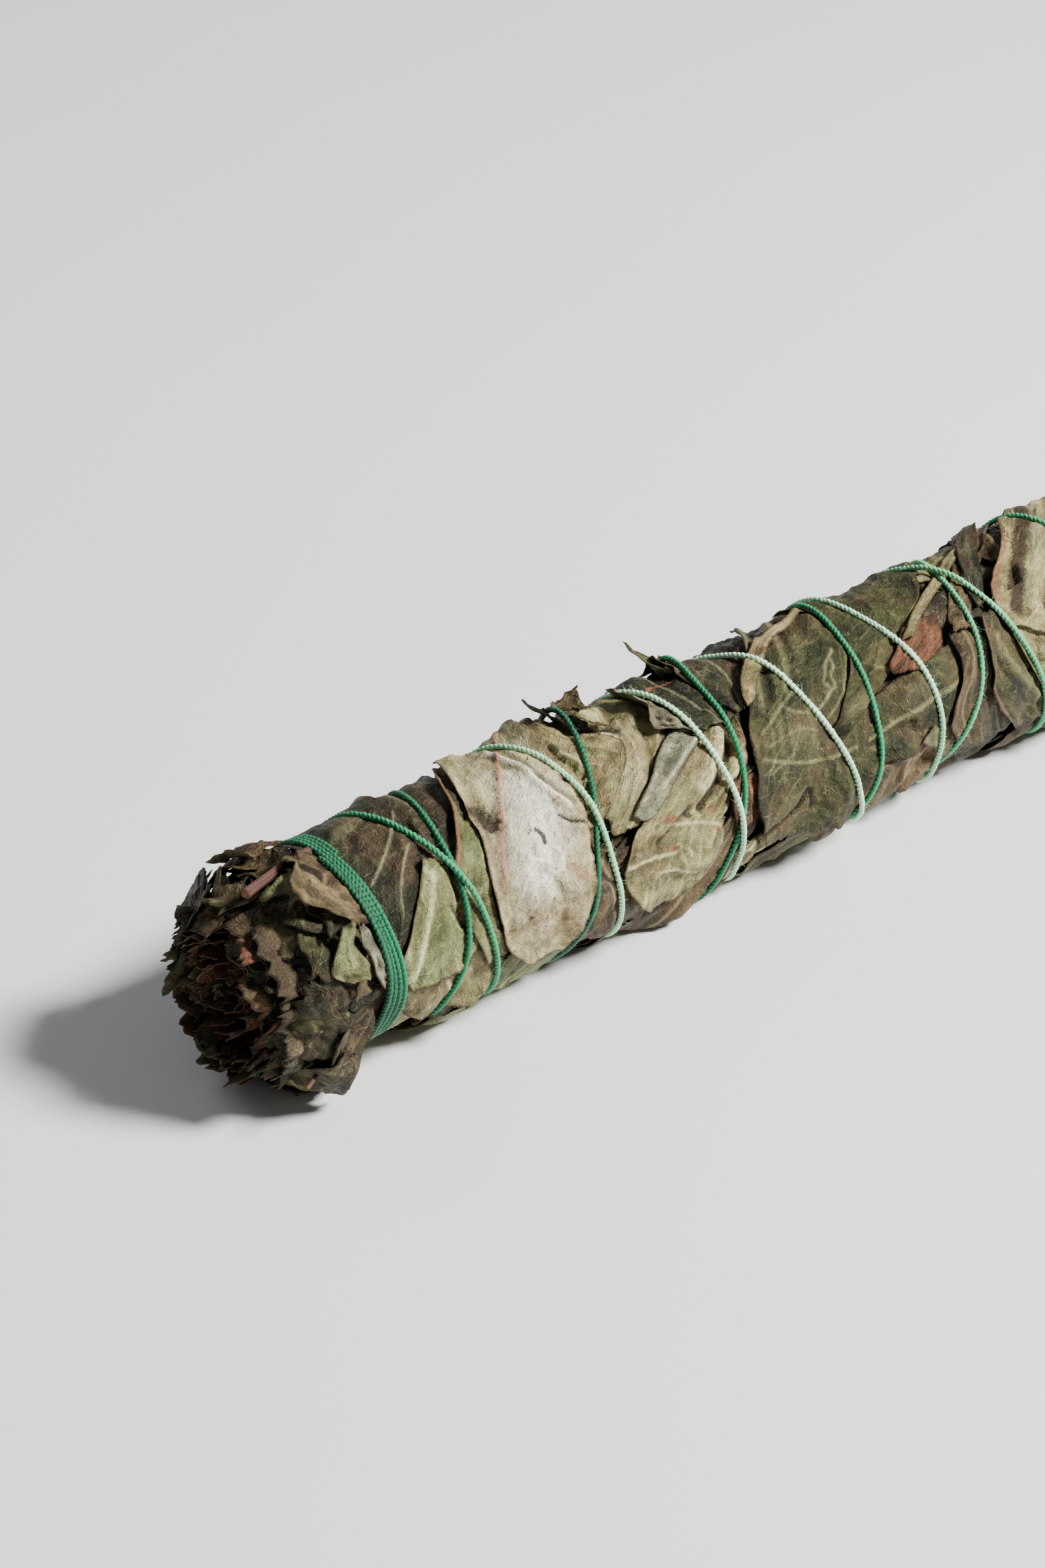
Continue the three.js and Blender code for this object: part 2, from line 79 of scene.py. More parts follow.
def lattice_noise(x, y, seed):
    """Smooth noise in -1..1 with about one feature per unit."""
    table = np.random.RandomState(seed).uniform(-1, 1, (LATTICE, LATTICE))
    column = np.floor(x).astype(int)
    row = np.floor(y).astype(int)
    fx = x - column
    fy = y - row
    fx = fx * fx * (3 - 2 * fx)
    fy = fy * fy * (3 - 2 * fy)
    a = table[column % LATTICE, row % LATTICE]
    b = table[(column + 1) % LATTICE, row % LATTICE]
    c = table[column % LATTICE, (row + 1) % LATTICE]
    d = table[(column + 1) % LATTICE, (row + 1) % LATTICE]
    return (a * (1 - fx) + b * fx) * (1 - fy) + (c * (1 - fx) + d * fx) * fy


def layered_noise(x, y, seed, octaves=3):
    """Noise in layers, each half as strong and about twice as fine as the one before."""
    total = np.zeros(np.broadcast(x, y).shape)
    strength = 1.0
    scale = 1.0
    for octave in range(octaves):
        total = total + strength * lattice_noise(x * scale, y * scale, seed + 17 * octave)
        strength *= 0.5
        scale *= 2.03
    return total / LAYERED_PEAK


def smoothstep(low, high, value):
    """From 0 at low to 1 at high, with a smooth start and end."""
    t = np.clip((value - low) / (high - low), 0, 1)
    return t * t * (3 - 2 * t)


def curve(points, position):
    """A smooth curve through points, at a position counted in points from the first."""
    points = np.asarray(points, float)
    padded = np.concatenate([[2 * points[0] - points[1]], points, [2 * points[-1] - points[-2]]])
    i = np.clip(np.floor(position).astype(int), 0, len(points) - 2)
    t = (position - i).reshape(np.shape(position) + (1,) * (points.ndim - 1))
    a, b, c, d = (padded[i + k] for k in range(4))
    bend = (2 * a - 5 * b + 4 * c - d) * t * t + (3 * b - a - 3 * c + d) * t ** 3
    return b + 0.5 * ((c - a) * t + bend)


def spline(points, u):
    """A smooth curve through evenly spaced points; u runs from 0 to 1."""
    return curve(points, np.clip(np.asarray(u, float), 0, 1) * (len(points) - 1))


# ---- The thread's way round the bundle ----

# Where the thread stands along the bundle at every quarter turn.
OUTWARD = [
    -88.4, -85, -80.5, -74, -68, -60, -52, -49.5, -42, -35, -28.5, -24.5, -19, -13, -8, -1, 8, 12, 15.5, 19,
    25.5, 30, 34, 44, 53, 57, 61, 66, 72, 77, 82, 87, 88.4,
]
OUTWARD_START = -180
OUTWARD_RANGE = (-150, 2700)
RETURNING = [
    88.4, 87, 82, 77, 72, 67, 61.5, 48, 34.5, 26.5, 18, 14, 9, 4, -6, -13, -19.5, -24.5, -32, -38, -45,
    -55.5, -60, -67, -75, -80, -88.4,
]
RETURNING_START = 0
RETURNING_RANGE = (0, 2286)
BAND_TURNS = 4
BAND_PITCH = 0.76


def spiral_x(stations, start):
    def place(around):
        return curve(stations, (np.asarray(around, float) - start) / 90)
    return place


def band_x(side):
    def place(around):
        return side * BAND_CENTRE + (np.asarray(around, float) / 360 - BAND_TURNS / 2) * BAND_PITCH
    return place


THREADS = {
    "thread_band_left": (band_x(-1), (0, 360 * BAND_TURNS)),
    "thread_band_right": (band_x(1), (0, 360 * BAND_TURNS)),
    "thread_returning": (spiral_x(RETURNING, RETURNING_START), RETURNING_RANGE),
    "thread_outward": (spiral_x(OUTWARD, OUTWARD_START), OUTWARD_RANGE),
}


# ---- The unrolled surface of the bundle, on which leaves are laid one over another ----

CELL = 0.5
ROUND_RADIUS = 16.0
GRID_MARGIN = 4
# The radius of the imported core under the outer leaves, and how far it falls off at the ends.
CORE_RADIUS = 14.2
END_FALL = 6.0
# The height over which the underside goes over from round to flat.
REST_SOFTNESS = 1.6
ROUND_CELLS = int(round(2 * math.pi * ROUND_RADIUS / CELL))
LENGTH_CELLS = int(2 * (HALF_LENGTH + GRID_MARGIN) / CELL) + 1
LENGTH_START = -(LENGTH_CELLS - 1) * CELL / 2
CELL_DEGREES = 360 / ROUND_CELLS


def dome(x):
    """How far the bundle's surface falls off towards its ends."""
    return END_FALL * smoothstep(99, 112, np.abs(x)) ** 1.3


def grid_places():
    """The place of every cell of the unrolled surface."""
    x = LENGTH_START + CELL * np.arange(LENGTH_CELLS)
    around = CELL_DEGREES * np.arange(ROUND_CELLS)
    return np.meshgrid(x, around, indexing="ij")


def sample(grid, x, around):
    """The grid's values at places between its cells."""
    column = np.clip((x - LENGTH_START) / CELL, 0, LENGTH_CELLS - 1.001)
    row = np.asarray(around, float) / CELL_DEGREES
    i = np.floor(column).astype(int)
    j = np.floor(row).astype(int)
    fx = column - i
    fy = row - j
    j0 = j % ROUND_CELLS
    j1 = (j + 1) % ROUND_CELLS
    low = grid[i, j0] * (1 - fx) + grid[i + 1, j0] * fx
    high = grid[i, j1] * (1 - fx) + grid[i + 1, j1] * fx
    return low * (1 - fy) + high * fy


def raise_surface(grid, x, around, radius):
    """Lifts the cells under a leaf to the leaf's outer face."""
    i = np.clip(np.round((x - LENGTH_START) / CELL).astype(int), 0, LENGTH_CELLS - 1)
    j = np.round(np.asarray(around) / CELL_DEGREES).astype(int) % ROUND_CELLS
    np.maximum.at(grid, (i.ravel(), j.ravel()), radius.ravel())


def grown(grid, reach):
    """The highest value within reach cells."""
    result = grid
    for _ in range(reach):
        wide = np.maximum(result, np.maximum(np.roll(result, 1, 1), np.roll(result, -1, 1)))
        tall = wide.copy()
        tall[1:] = np.maximum(tall[1:], wide[:-1])
        tall[:-1] = np.maximum(tall[:-1], wide[1:])
        result = tall
    return result


def blurred(grid, passes):
    """The grid smoothed over about as many cells as passes."""
    result = grid
    for _ in range(passes):
        result = (result + np.roll(result, 1, 1) + np.roll(result, -1, 1)) / 3
        padded = np.concatenate([result[:1], result, result[-1:]])
        result = (padded[:-2] + padded[1:-1] + padded[2:]) / 3
    return result


def to_world(x, around, radius, rest=0.0):
    """Metres, with the underside pressed flat where the bundle lies on the floor."""
    angle = np.radians(around)
    y = AXIS_Y - radius * np.sin(angle)
    z = AXIS_HEIGHT + radius * np.cos(angle)
    above = (z - rest - REST_SOFTNESS) / REST_SOFTNESS
    pressed = rest + REST_SOFTNESS * np.exp(np.minimum(above, 0))
    z = np.where(z - rest < REST_SOFTNESS, pressed, z)
    return np.stack(np.broadcast_arrays(x, y, z), -1) * MM


# ---- Meshes ----

FLOOR_GAP = 0.05 * MM


def in_scene(name, data):
    """A new object of the scene."""
    item = bpy.data.objects.new(name, data)
    bpy.context.scene.collection.objects.link(item)
    return item


def new_object(name, vertices, faces, material, attributes):
    """A smooth mesh object from arrays, kept clear of the floor."""
    mesh = bpy.data.meshes.new(name)
    faces = np.asarray(faces)
    vertices = np.array(vertices, float).reshape(-1, 3)
    vertices[:, 2] = np.maximum(vertices[:, 2], FLOOR_GAP)
    mesh.vertices.add(len(vertices))
    mesh.vertices.foreach_set("co", vertices.ravel())
    corners = faces.shape[1]
    mesh.loops.add(faces.size)
    mesh.loops.foreach_set("vertex_index", faces.ravel().astype(np.int32))
    mesh.polygons.add(len(faces))
    mesh.polygons.foreach_set("loop_start", np.arange(0, faces.size, corners, dtype=np.int32))
    mesh.polygons.foreach_set("loop_total", np.full(len(faces), corners, dtype=np.int32))
    mesh.polygons.foreach_set("use_smooth", np.full(len(faces), True))
    for key, values in attributes.items():
        layer = mesh.attributes.new(key, "FLOAT_VECTOR", "POINT")
        layer.data.foreach_set("vector", np.asarray(values, float).ravel())
    mesh.update(calc_edges=True)
    mesh.validate()
    mesh.materials.append(material)
    return in_scene(name, mesh)


def joined(parts):
    """Joins (vertices, faces, attributes) of several sheets."""
    vertices = []
    faces = []
    attributes = {}
    count = 0
    for points, quads, marks in parts:
        vertices.append(points)
        faces.append(quads + count)
        count += len(points)
        for key, values in marks.items():
            attributes.setdefault(key, []).append(values)
    merged = {key: np.concatenate(values) for key, values in attributes.items()}
    return np.concatenate(vertices), np.concatenate(faces), merged


def finish_piece(name, parts, material, nodes=()):
    """Joins parts into one piece that rides the body and stands for nodes."""
    vertices, faces, attributes = joined(parts)
    piece = new_object(name, vertices, faces, material, attributes)
    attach(piece, "root")
    if nodes:
        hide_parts(*nodes)


def tube_faces(rows, columns):
    """Triangles of a closed tube of rings; the last two vertices are the middles of its ends."""
    i, k = np.meshgrid(np.arange(rows - 1), np.arange(columns), indexing="ij")
    a = (i * columns + k).ravel()
    b = (i * columns + (k + 1) % columns).ravel()
    middle = rows * columns
    first = np.arange(columns)
    last = first + (rows - 1) * columns
    return np.concatenate([
        np.stack([a, b, b + columns], 1),
        np.stack([a, b + columns, a + columns], 1),
        np.stack([np.full(columns, middle), np.roll(first, -1), first], 1),
        np.stack([np.full(columns, middle + 1), last, np.roll(last, -1)], 1),
    ])


def sheet_faces(rows, columns):
    """Quads of a closed sheet: outer grid first, then the inner grid, then the rim."""
    stride = columns + 1
    inner = (rows + 1) * stride
    i, j = np.meshgrid(np.arange(rows), np.arange(columns), indexing="ij")
    a = (i * stride + j).ravel()
    outer_faces = np.stack([a, a + 1, a + stride + 1, a + stride], 1)
    inner_faces = np.stack([a, a + stride, a + stride + 1, a + 1], 1) + inner
    first = np.arange(rows) * stride
    last = first + columns
    low = np.arange(columns)
    high = low + rows * stride
    rims = [
        np.stack([first, first + stride, first + stride + inner, first + inner], 1),
        np.stack([last, last + inner, last + stride + inner, last + stride], 1),
        np.stack([low, low + inner, low + 1 + inner, low + 1], 1),
        np.stack([high, high + 1, high + 1 + inner, high + inner], 1),
    ]
    return np.concatenate([outer_faces, inner_faces] + rims)


# ---- Leaves ----

LEAF_THICKNESS = 0.24
# Mesh steps in millimetres: the finest is for the leaves on the visible side.
HIDDEN_STEP = 0.65
COARSE_STEP = 0.45
FINE_STEP = 0.33
FLAKE_STEP = 0.36
LEAF_GAP = 0.12
LEAST_GAP = 0.05
VEIN_GAP = 4.6
CRUMPLE_TOP = 0.9
CURL_REACH = 1.3
END_REACH = 1.6
LEAF_DEFAULTS = dict(
    floor=15.6, stiff=4, clear=0.0, thick=1.0, midrib=1.0, rib_at=0.0, vein=0.07, pleat=0.38,
    crease=0.4, crumple=0.0, fold=0.0, fold_at=0.0, torn=1.0, ragged=(0.08, 0.08), curl=(0.3, 0.3),
    ends=(0.2, 0.3), strokes=(),
)


def unrolled(points):
    """(x, around) as millimetres on the unrolled bundle."""
    points = np.asarray(points, float)
    return np.stack([points[..., 0], np.radians(points[..., 1]) * ROUND_RADIUS], -1)


def leaf_edges(spec):
    """Both edges of a lanceolate leaf given by its place, size and turn."""
    u = np.linspace(0, 1, 9)
    belly = np.maximum(np.sin(np.pi * (0.05 + 0.92 * u ** 0.85)) ** 0.72, 0.04)
    along = (u - 0.5) * spec["length"]
    turn = math.radians(spec["turn"])
    edges = []
    for sign in (-1, 1):
        across = sign * belly * spec["width"] / 2
        x = spec["x"] + along * math.cos(turn) - across * math.sin(turn)
        round_ = along * math.sin(turn) + across * math.cos(turn)
        edges.append(np.stack([x, spec["around"] + np.degrees(round_ / ROUND_RADIUS)], -1))
    return edges


def stroke_distance(place, path):
    """Distance in millimetres from unrolled places to a path of (x, around) points."""
    line = unrolled(spline(path, np.linspace(0, 1, 4 * len(path))))
    nearest = np.full(place.shape[:-1], np.inf)
    for start, end in zip(line[:-1], line[1:]):
        step = end - start
        t = np.clip(((place - start) @ step) / max(step @ step, 1e-9), 0, 1)
        nearest = np.minimum(nearest, np.linalg.norm(place - start - t[..., None] * step, axis=-1))
    return nearest


def local_mean(values, reach):
    """A leaf's own grid smoothed over about as many cells as reach."""
    result = values
    for _ in range(reach):
        padded = np.pad(result, 1, mode="edge")
        result = (padded[:-2, 1:-1] + padded[2:, 1:-1] + padded[1:-1, :-2] + padded[1:-1, 2:]
                  + padded[1:-1, 1:-1]) / 5
    return result


def margin(along, side, amount, seed):
    """How far a leaf's edge stands out or is torn in, as a share of the half width."""
    slow = lattice_noise(along / 7 + 3 * side, np.full_like(along, seed * 0.37), seed)
    quick = layered_noise(along / 1.6 + 9 * side, np.full_like(along, seed * 0.71), seed + 5)
    torn = np.clip(layered_noise(along / 4.5, np.full_like(along, 4.0 * side + seed), seed + 9), 0, 1)
    return amount * (0.5 * slow + 0.35 * quick - 1.6 * torn ** 1.5)


def leaf_outline(spec, step, seed):
    """The leaf's grid: u along it, v across it, its places, half widths and size."""
    first, second = spec["edges"] if "edges" in spec else leaf_edges(spec)
    fine = np.linspace(0, 1, 60)
    first_line = unrolled(spline(first, fine))
    second_line = unrolled(spline(second, fine))
    length = np.linalg.norm(np.diff((first_line + second_line) / 2, axis=0), axis=1).sum()
    width = np.linalg.norm(second_line - first_line, axis=1).max()
    rows = max(8, int(length / step))
    columns = max(6, int(width / step))
    u, v = np.meshgrid(np.linspace(0, 1, rows + 1), np.linspace(-1, 1, columns + 1), indexing="ij")
    tear = layered_noise(v * width / 5, np.full_like(v, seed * 0.3), seed + 3)
    tip_share = smoothstep(0.8, 1, u) - smoothstep(0.2, 0, u)
    shifted = u - spec["torn"] / length * np.abs(tear) * tip_share
    a = unrolled(spline(first, shifted))
    b = unrolled(spline(second, shifted))
    first_reach, second_reach = (1 + margin(u * length, k, spec["ragged"][k], seed) for k in (0, 1))
    wide = v * np.maximum(np.where(v < 0, first_reach, second_reach), 0.1)
    place = a * (0.5 - wide[..., None] / 2) + b * (0.5 + wide[..., None] / 2)
    half = np.linalg.norm(b - a, axis=-1) / 2
    turned = np.cross(a[rows // 2] - a[rows // 2 - 1], b[rows // 2] - a[rows // 2])
    return u, v, place, wide * half, half, length, turned.ravel()[0] < 0


def leaf_veins(spec, u, v, along, across, half, seed):
    """Strengths of the midrib, the side veins and the fine veins."""
    rib_width = 0.28 + 0.3 * (1 - u)
    midrib = np.exp(-((across - spec["rib_at"] * half) / rib_width) ** 2) * spec["midrib"]
    bow = np.abs(across) * 0.9 + 0.03 * across ** 2
    wander = 0.9 * lattice_noise(along / 6, across / 5, seed + 21)
    phase = (along - bow) / VEIN_GAP + 0.25 * np.sign(across) + 0.22 * wander
    fade = smoothstep(1.0, 0.75, np.abs(v)) * (0.55 + 0.45 * lattice_noise(along / 9, across / 4, seed + 22))
    side_vein = (0.5 + 0.5 * np.cos(2 * np.pi * phase)) ** 22 * fade
    phase = along / 1.3 + 0.5 * np.abs(across) + 1.6 * lattice_noise(along / 3, across / 2, seed + 23)
    fine_vein = (0.5 + 0.5 * np.cos(2 * np.pi * phase)) ** 12 * fade * 0.4
    return midrib, side_vein, fine_vein


def leaf_relief(spec, v, along, across, veins, seed):
    """Heights of the veins, the pleats along the leaf, its creases, crumples and fold."""
    midrib, side_vein, fine_vein = veins
    stretched = layered_noise(along / 17, across / 2.3, seed + 2)
    ridge = 1 - np.abs(layered_noise(along / 9 + across / 8, across / 5 - along / 26, seed + 4, 2))
    web = 1 - np.abs(layered_noise(along / 3.4, across / 2.8, seed + 14, 2))
    pucker = 0.09 * layered_noise(along / 1.1, across / 1.1, seed + 6, 2)
    relief = (
        0.16 * midrib + spec["vein"] * side_vein + 0.03 * fine_vein + spec["pleat"] * stretched
        + spec["crease"] * (ridge ** 5 - 0.3) + 0.15 * (web ** 4 - 0.3) + pucker
    )
    facets = np.abs(layered_noise(along / 3.4 + 3, across / 3.0, seed + 31, 2))
    relief = relief + spec["crumple"] * (CRUMPLE_TOP - 2.4 * facets)
    return relief + spec["fold"] * np.exp(-((v - spec["fold_at"]) / 0.35) ** 2)


def leaf_curl(spec, v, along, from_tip, rim, seed):
    """How far the rims and tips of the leaf stand up."""
    first_lift, second_lift = spec["curl"]
    base_lift, tip_lift = spec["ends"]
    flutter = np.clip(0.65 + 0.8 * lattice_noise(along / 6, v + 3, seed + 8), 0, 2)
    curl = np.where(v < 0, first_lift, second_lift) * np.exp(-(rim / CURL_REACH) ** 1.3) * flutter
    curl = curl + base_lift * np.exp(-(along / END_REACH) ** 1.3)
    return curl + tip_lift * np.exp(-(from_tip / END_REACH) ** 1.3)


def lay_leaf(surface, spec, number, step):
    """Lays one leaf on the surface and returns its grids."""
    spec = dict(LEAF_DEFAULTS, **spec)
    seed = 100 + 13 * number
    u, v, place, across, half, length, flipped = leaf_outline(spec, step, seed)
    along = u * length
    x = place[..., 0]
    around = np.degrees(place[..., 1] / ROUND_RADIUS)

    base = sample(blurred(grown(surface, 1), spec["stiff"]), x, around)
    lumps = 0.25 * lattice_noise(x / 13, around / 40, 77)
    lying = np.maximum(base, spec["floor"] - dome(x) + lumps)
    lying = lying * 0.5 + local_mean(lying, 6) * 0.5

    veins = leaf_veins(spec, u, v, along, across, half, seed)
    relief = leaf_relief(spec, v, along, across, veins, seed)
    paint = {"pale": np.zeros_like(u), "rust": np.zeros_like(u), "dark": np.zeros_like(u)}
    for kind, amount, stroke_width, height, path in spec["strokes"]:
        shape = np.exp(-(stroke_distance(place, path) / stroke_width) ** 2)
        relief = relief + height * shape
        np.maximum(paint[kind], amount * shape, out=paint[kind])

    rim = np.minimum((1 - np.abs(v)) * half, 50)
    from_tip = (1 - u) * length
    curl = leaf_curl(spec, v, along, from_tip, rim, seed)
    drop_to = sample(grown(surface, 1), x, around) + LEAST_GAP
    inner = np.maximum(lying + LEAF_GAP + relief + curl + spec["clear"], drop_to)
    edge = np.minimum(rim, np.minimum(along, from_tip))
    outer = inner + LEAF_THICKNESS * spec["thick"] * (0.5 + 0.5 * smoothstep(0, 0.6, edge))
    raise_surface(surface, x, around, outer)
    middles = [(grid[:-1, :-1] + grid[1:, 1:]) / 2 for grid in (x, around, outer)]
    raise_surface(surface, *middles)

    midrib, side_vein, fine_vein = veins
    return {
        "spec": spec, "seed": seed, "flipped": flipped, "x": x, "around": around, "outer": outer,
        "inner": inner, "along": along, "across": across, "edge": edge, "paint": tuple(paint.values()),
        "vein": np.clip(midrib + 0.75 * side_vein + fine_vein, 0, 1),
        # How far the relief dips below its surroundings: the materials paint shade into the dips and light
        # onto the ridges.
        "hollow_shade": np.clip((local_mean(relief, 5) - relief) / 0.12, -1, 1),
    }


def both_faces(outer, inner):
    """One row for each vertex: the outer face of a sheet, then its inner face."""
    return np.concatenate([outer.reshape(-1, 3), inner.reshape(-1, 3)])


def leaf_attributes(along, across, marks, paint, seed):
    """What the leaf materials read, at the vertices of both faces."""
    place = np.stack([along, across, np.full_like(along, seed * 1.7)], -1)
    marks = np.stack(marks, -1)
    paint = np.stack(paint, -1)
    tone = np.random.RandomState(seed).uniform(0, 1)
    side = np.stack([np.zeros_like(along), np.full_like(along, tone), np.zeros_like(along)], -1)
    return {
        "leaf_place": both_faces(place, place),
        "leaf_marks": both_faces(marks, marks),
        "leaf_paint": both_faces(paint, paint),
        "leaf_side": both_faces(side, side + np.array([1.0, 0, 0])),
    }


def leaf_arrays(leaf, sink):
    """World vertices, faces and attributes of a laid leaf; sink is how far the thread presses it in."""
    x = leaf["x"]
    around = leaf["around"]
    drop = sample(sink, x, around)
    outer = to_world(x, around, leaf["outer"] - drop)
    inner = to_world(x, around, leaf["inner"] - drop)
    faces = sheet_faces(x.shape[0] - 1, x.shape[1] - 1)
    if leaf["flipped"]:
        faces = faces[:, ::-1]
    marks = (leaf["vein"], leaf["edge"], leaf["hollow_shade"])
    attributes = leaf_attributes(leaf["along"], leaf["across"], marks, leaf["paint"], leaf["seed"])
    return both_faces(outer, inner), faces, attributes


# ---- Materials ----

def rgb(red, green, blue):
    """A linear colour from 0..255 screen values."""
    def linear(value):
        value /= 255
        return value / 12.92 if value <= 0.04045 else ((value + 0.055) / 1.055) ** 2.4
    return (linear(red), linear(green), linear(blue), 1.0)


class Nodes:
    """Adds nodes to a material and wires them by name."""

    def __init__(self, name):
        self.material = bpy.data.materials.new(name)
        self.material.use_nodes = True
        self.tree = self.material.node_tree
        self.shader = self.tree.nodes["Principled BSDF"]

    def add(self, kind, inputs=None, **settings):
        node = self.tree.nodes.new(kind)
        for key, value in settings.items():
            setattr(node, key, value)
        for key, value in (inputs or {}).items():
            self.put(node.inputs[key], value)
        return node

    def put(self, socket, value):
        if isinstance(value, bpy.types.NodeSocket):
            self.tree.links.new(value, socket)
        else:
            socket.default_value = value

    def attribute(self, name):
        """An attribute as a vector, and its three parts."""
        vector = self.add("ShaderNodeAttribute", attribute_name=name).outputs["Vector"]
        parts = self.add("ShaderNodeSeparateXYZ", {"Vector": vector}).outputs
        return vector, parts[0], parts[1], parts[2]

    def math(self, operation, *values):
        node = self.add("ShaderNodeMath", operation=operation)
        for socket, value in zip(node.inputs, values):
            self.put(socket, value)
        return node.outputs[0]

    def times(self, a, b):
        return self.math("MULTIPLY", a, b)

    def plus(self, a, b):
        return self.math("ADD", a, b)

    def mix(self, factor, a, b, blend="MIX"):
        node = self.add("ShaderNodeMix", data_type="RGBA", blend_type=blend)
        self.put(node.inputs[0], factor)
        self.put(node.inputs[6], a)
        self.put(node.inputs[7], b)
        return node.outputs[2]

    def ramp(self, value, low, high, start=0.0, end=1.0, smooth=True):
        kind = "SMOOTHSTEP" if smooth else "LINEAR"
        node = self.add("ShaderNodeMapRange", interpolation_type=kind)
        for socket, setting in zip(node.inputs, (value, low, high, start, end)):
            self.put(socket, setting)
        return node.outputs[0]

    def noise(self, vector, scale, detail=3.0, roughness=0.55, distortion=0.0):
        node = self.add("ShaderNodeTexNoise", {
            "Vector": vector, "Scale": scale, "Detail": detail, "Roughness": roughness,
            "Distortion": distortion,
        })
        return node.outputs[0]

    def cracks(self, vector, scale):
        return self.add("ShaderNodeTexVoronoi", {"Vector": vector, "Scale": scale},
                        feature="DISTANCE_TO_EDGE").outputs[0]

    def stretched(self, vector, scale):
        node = self.add("ShaderNodeMapping", {"Vector": vector, "Scale": scale})
        return node.outputs[0]

    def tint(self, colour, mask, strength, other):
        """The colour, turned towards the other one where the mask says."""
        return self.mix(self.times(mask, strength), colour, other)

    def about_zero(self, noise, strength):
        return self.times(self.math("SUBTRACT", noise, 0.5), strength)

    def finish(self, colour, roughness, bump=None, **others):
        """Sets the shader's inputs; bump is (height, strength, distance in metres)."""
        settings = {"Base Color": colour, "Roughness": roughness}
        if bump:
            names = ("Height", "Strength", "Distance")
            settings["Normal"] = self.add("ShaderNodeBump", dict(zip(names, bump))).outputs[0]
        settings.update({name.replace("_", " "): value for name, value in others.items()})
        for name, value in settings.items():
            self.put(self.shader.inputs[name], value)
        return self.material


# Face, shade, vein, blotch and edge colours of each kind of leaf, and of its other face. The vein colour
# also paints the highlights of the pale strokes, and the edge colour, a browned rim, also stands for painted
# shade in the gaps along the leaf edges.
PALETTES = {
    "dark": dict(face=(45, 48, 29), shade=(19, 20, 11), vein=(134, 133, 100), blotch=(44, 31, 22),
                 edge=(34, 25, 17), back=(118, 113, 80)),
    "olive": dict(face=(62, 65, 34), shade=(29, 32, 15), vein=(142, 141, 98), blotch=(78, 50, 32),
                  edge=(56, 42, 26), back=(140, 133, 90)),
    "tan": dict(face=(146, 140, 94), shade=(80, 76, 44), vein=(222, 213, 166), blotch=(112, 67, 44),
                edge=(68, 47, 30), back=(166, 155, 112)),
    "pale": dict(face=(184, 173, 128), shade=(116, 106, 70), vein=(255, 252, 236), blotch=(128, 86, 62),
                 edge=(92, 64, 46), back=(114, 108, 68)),
    "green": dict(face=(128, 134, 88), shade=(72, 79, 42), vein=(184, 186, 138), blotch=(94, 74, 45),
                  edge=(70, 55, 35), back=(148, 142, 103)),
    "brown": dict(face=(92, 79, 50), shade=(42, 34, 22), vein=(142, 127, 92), blotch=(64, 41, 28),
                  edge=(40, 29, 20), back=(118, 105, 75)),
    "rust": dict(face=(122, 75, 50), shade=(56, 36, 24), vein=(152, 114, 80), blotch=(48, 30, 21),
                 edge=(44, 30, 21), back=(92, 69, 48)),
    "grey": dict(face=(138, 139, 112), shade=(74, 77, 58), vein=(190, 190, 158), blotch=(80, 68, 49),
                 edge=(62, 52, 37), back=(146, 141, 110)),
}
# How strongly the blotches show on each kind of leaf.
BLOTCHES = {
    "dark": 0.4, "olive": 0.3, "tan": 0.7, "pale": 0.3, "green": 0.35, "brown": 0.6, "rust": 0.7,
    "grey": 0.4,
}
WARM = rgb(176, 132, 100)
STAIN = rgb(132, 80, 58)
# The colour of dark spots, and of painted shade in creases, holes and gaps.
DARK_SPOT_AND_SHADE = rgb(46, 33, 25)
SCRATCH = rgb(190, 184, 160)
THREAD_STOPS = (
    (0.0, (2, 62, 40)), (0.28, (4, 120, 74)), (0.6, (62, 156, 108)), (0.82, (132, 200, 150)),
    (1.0, (196, 238, 202)),
)


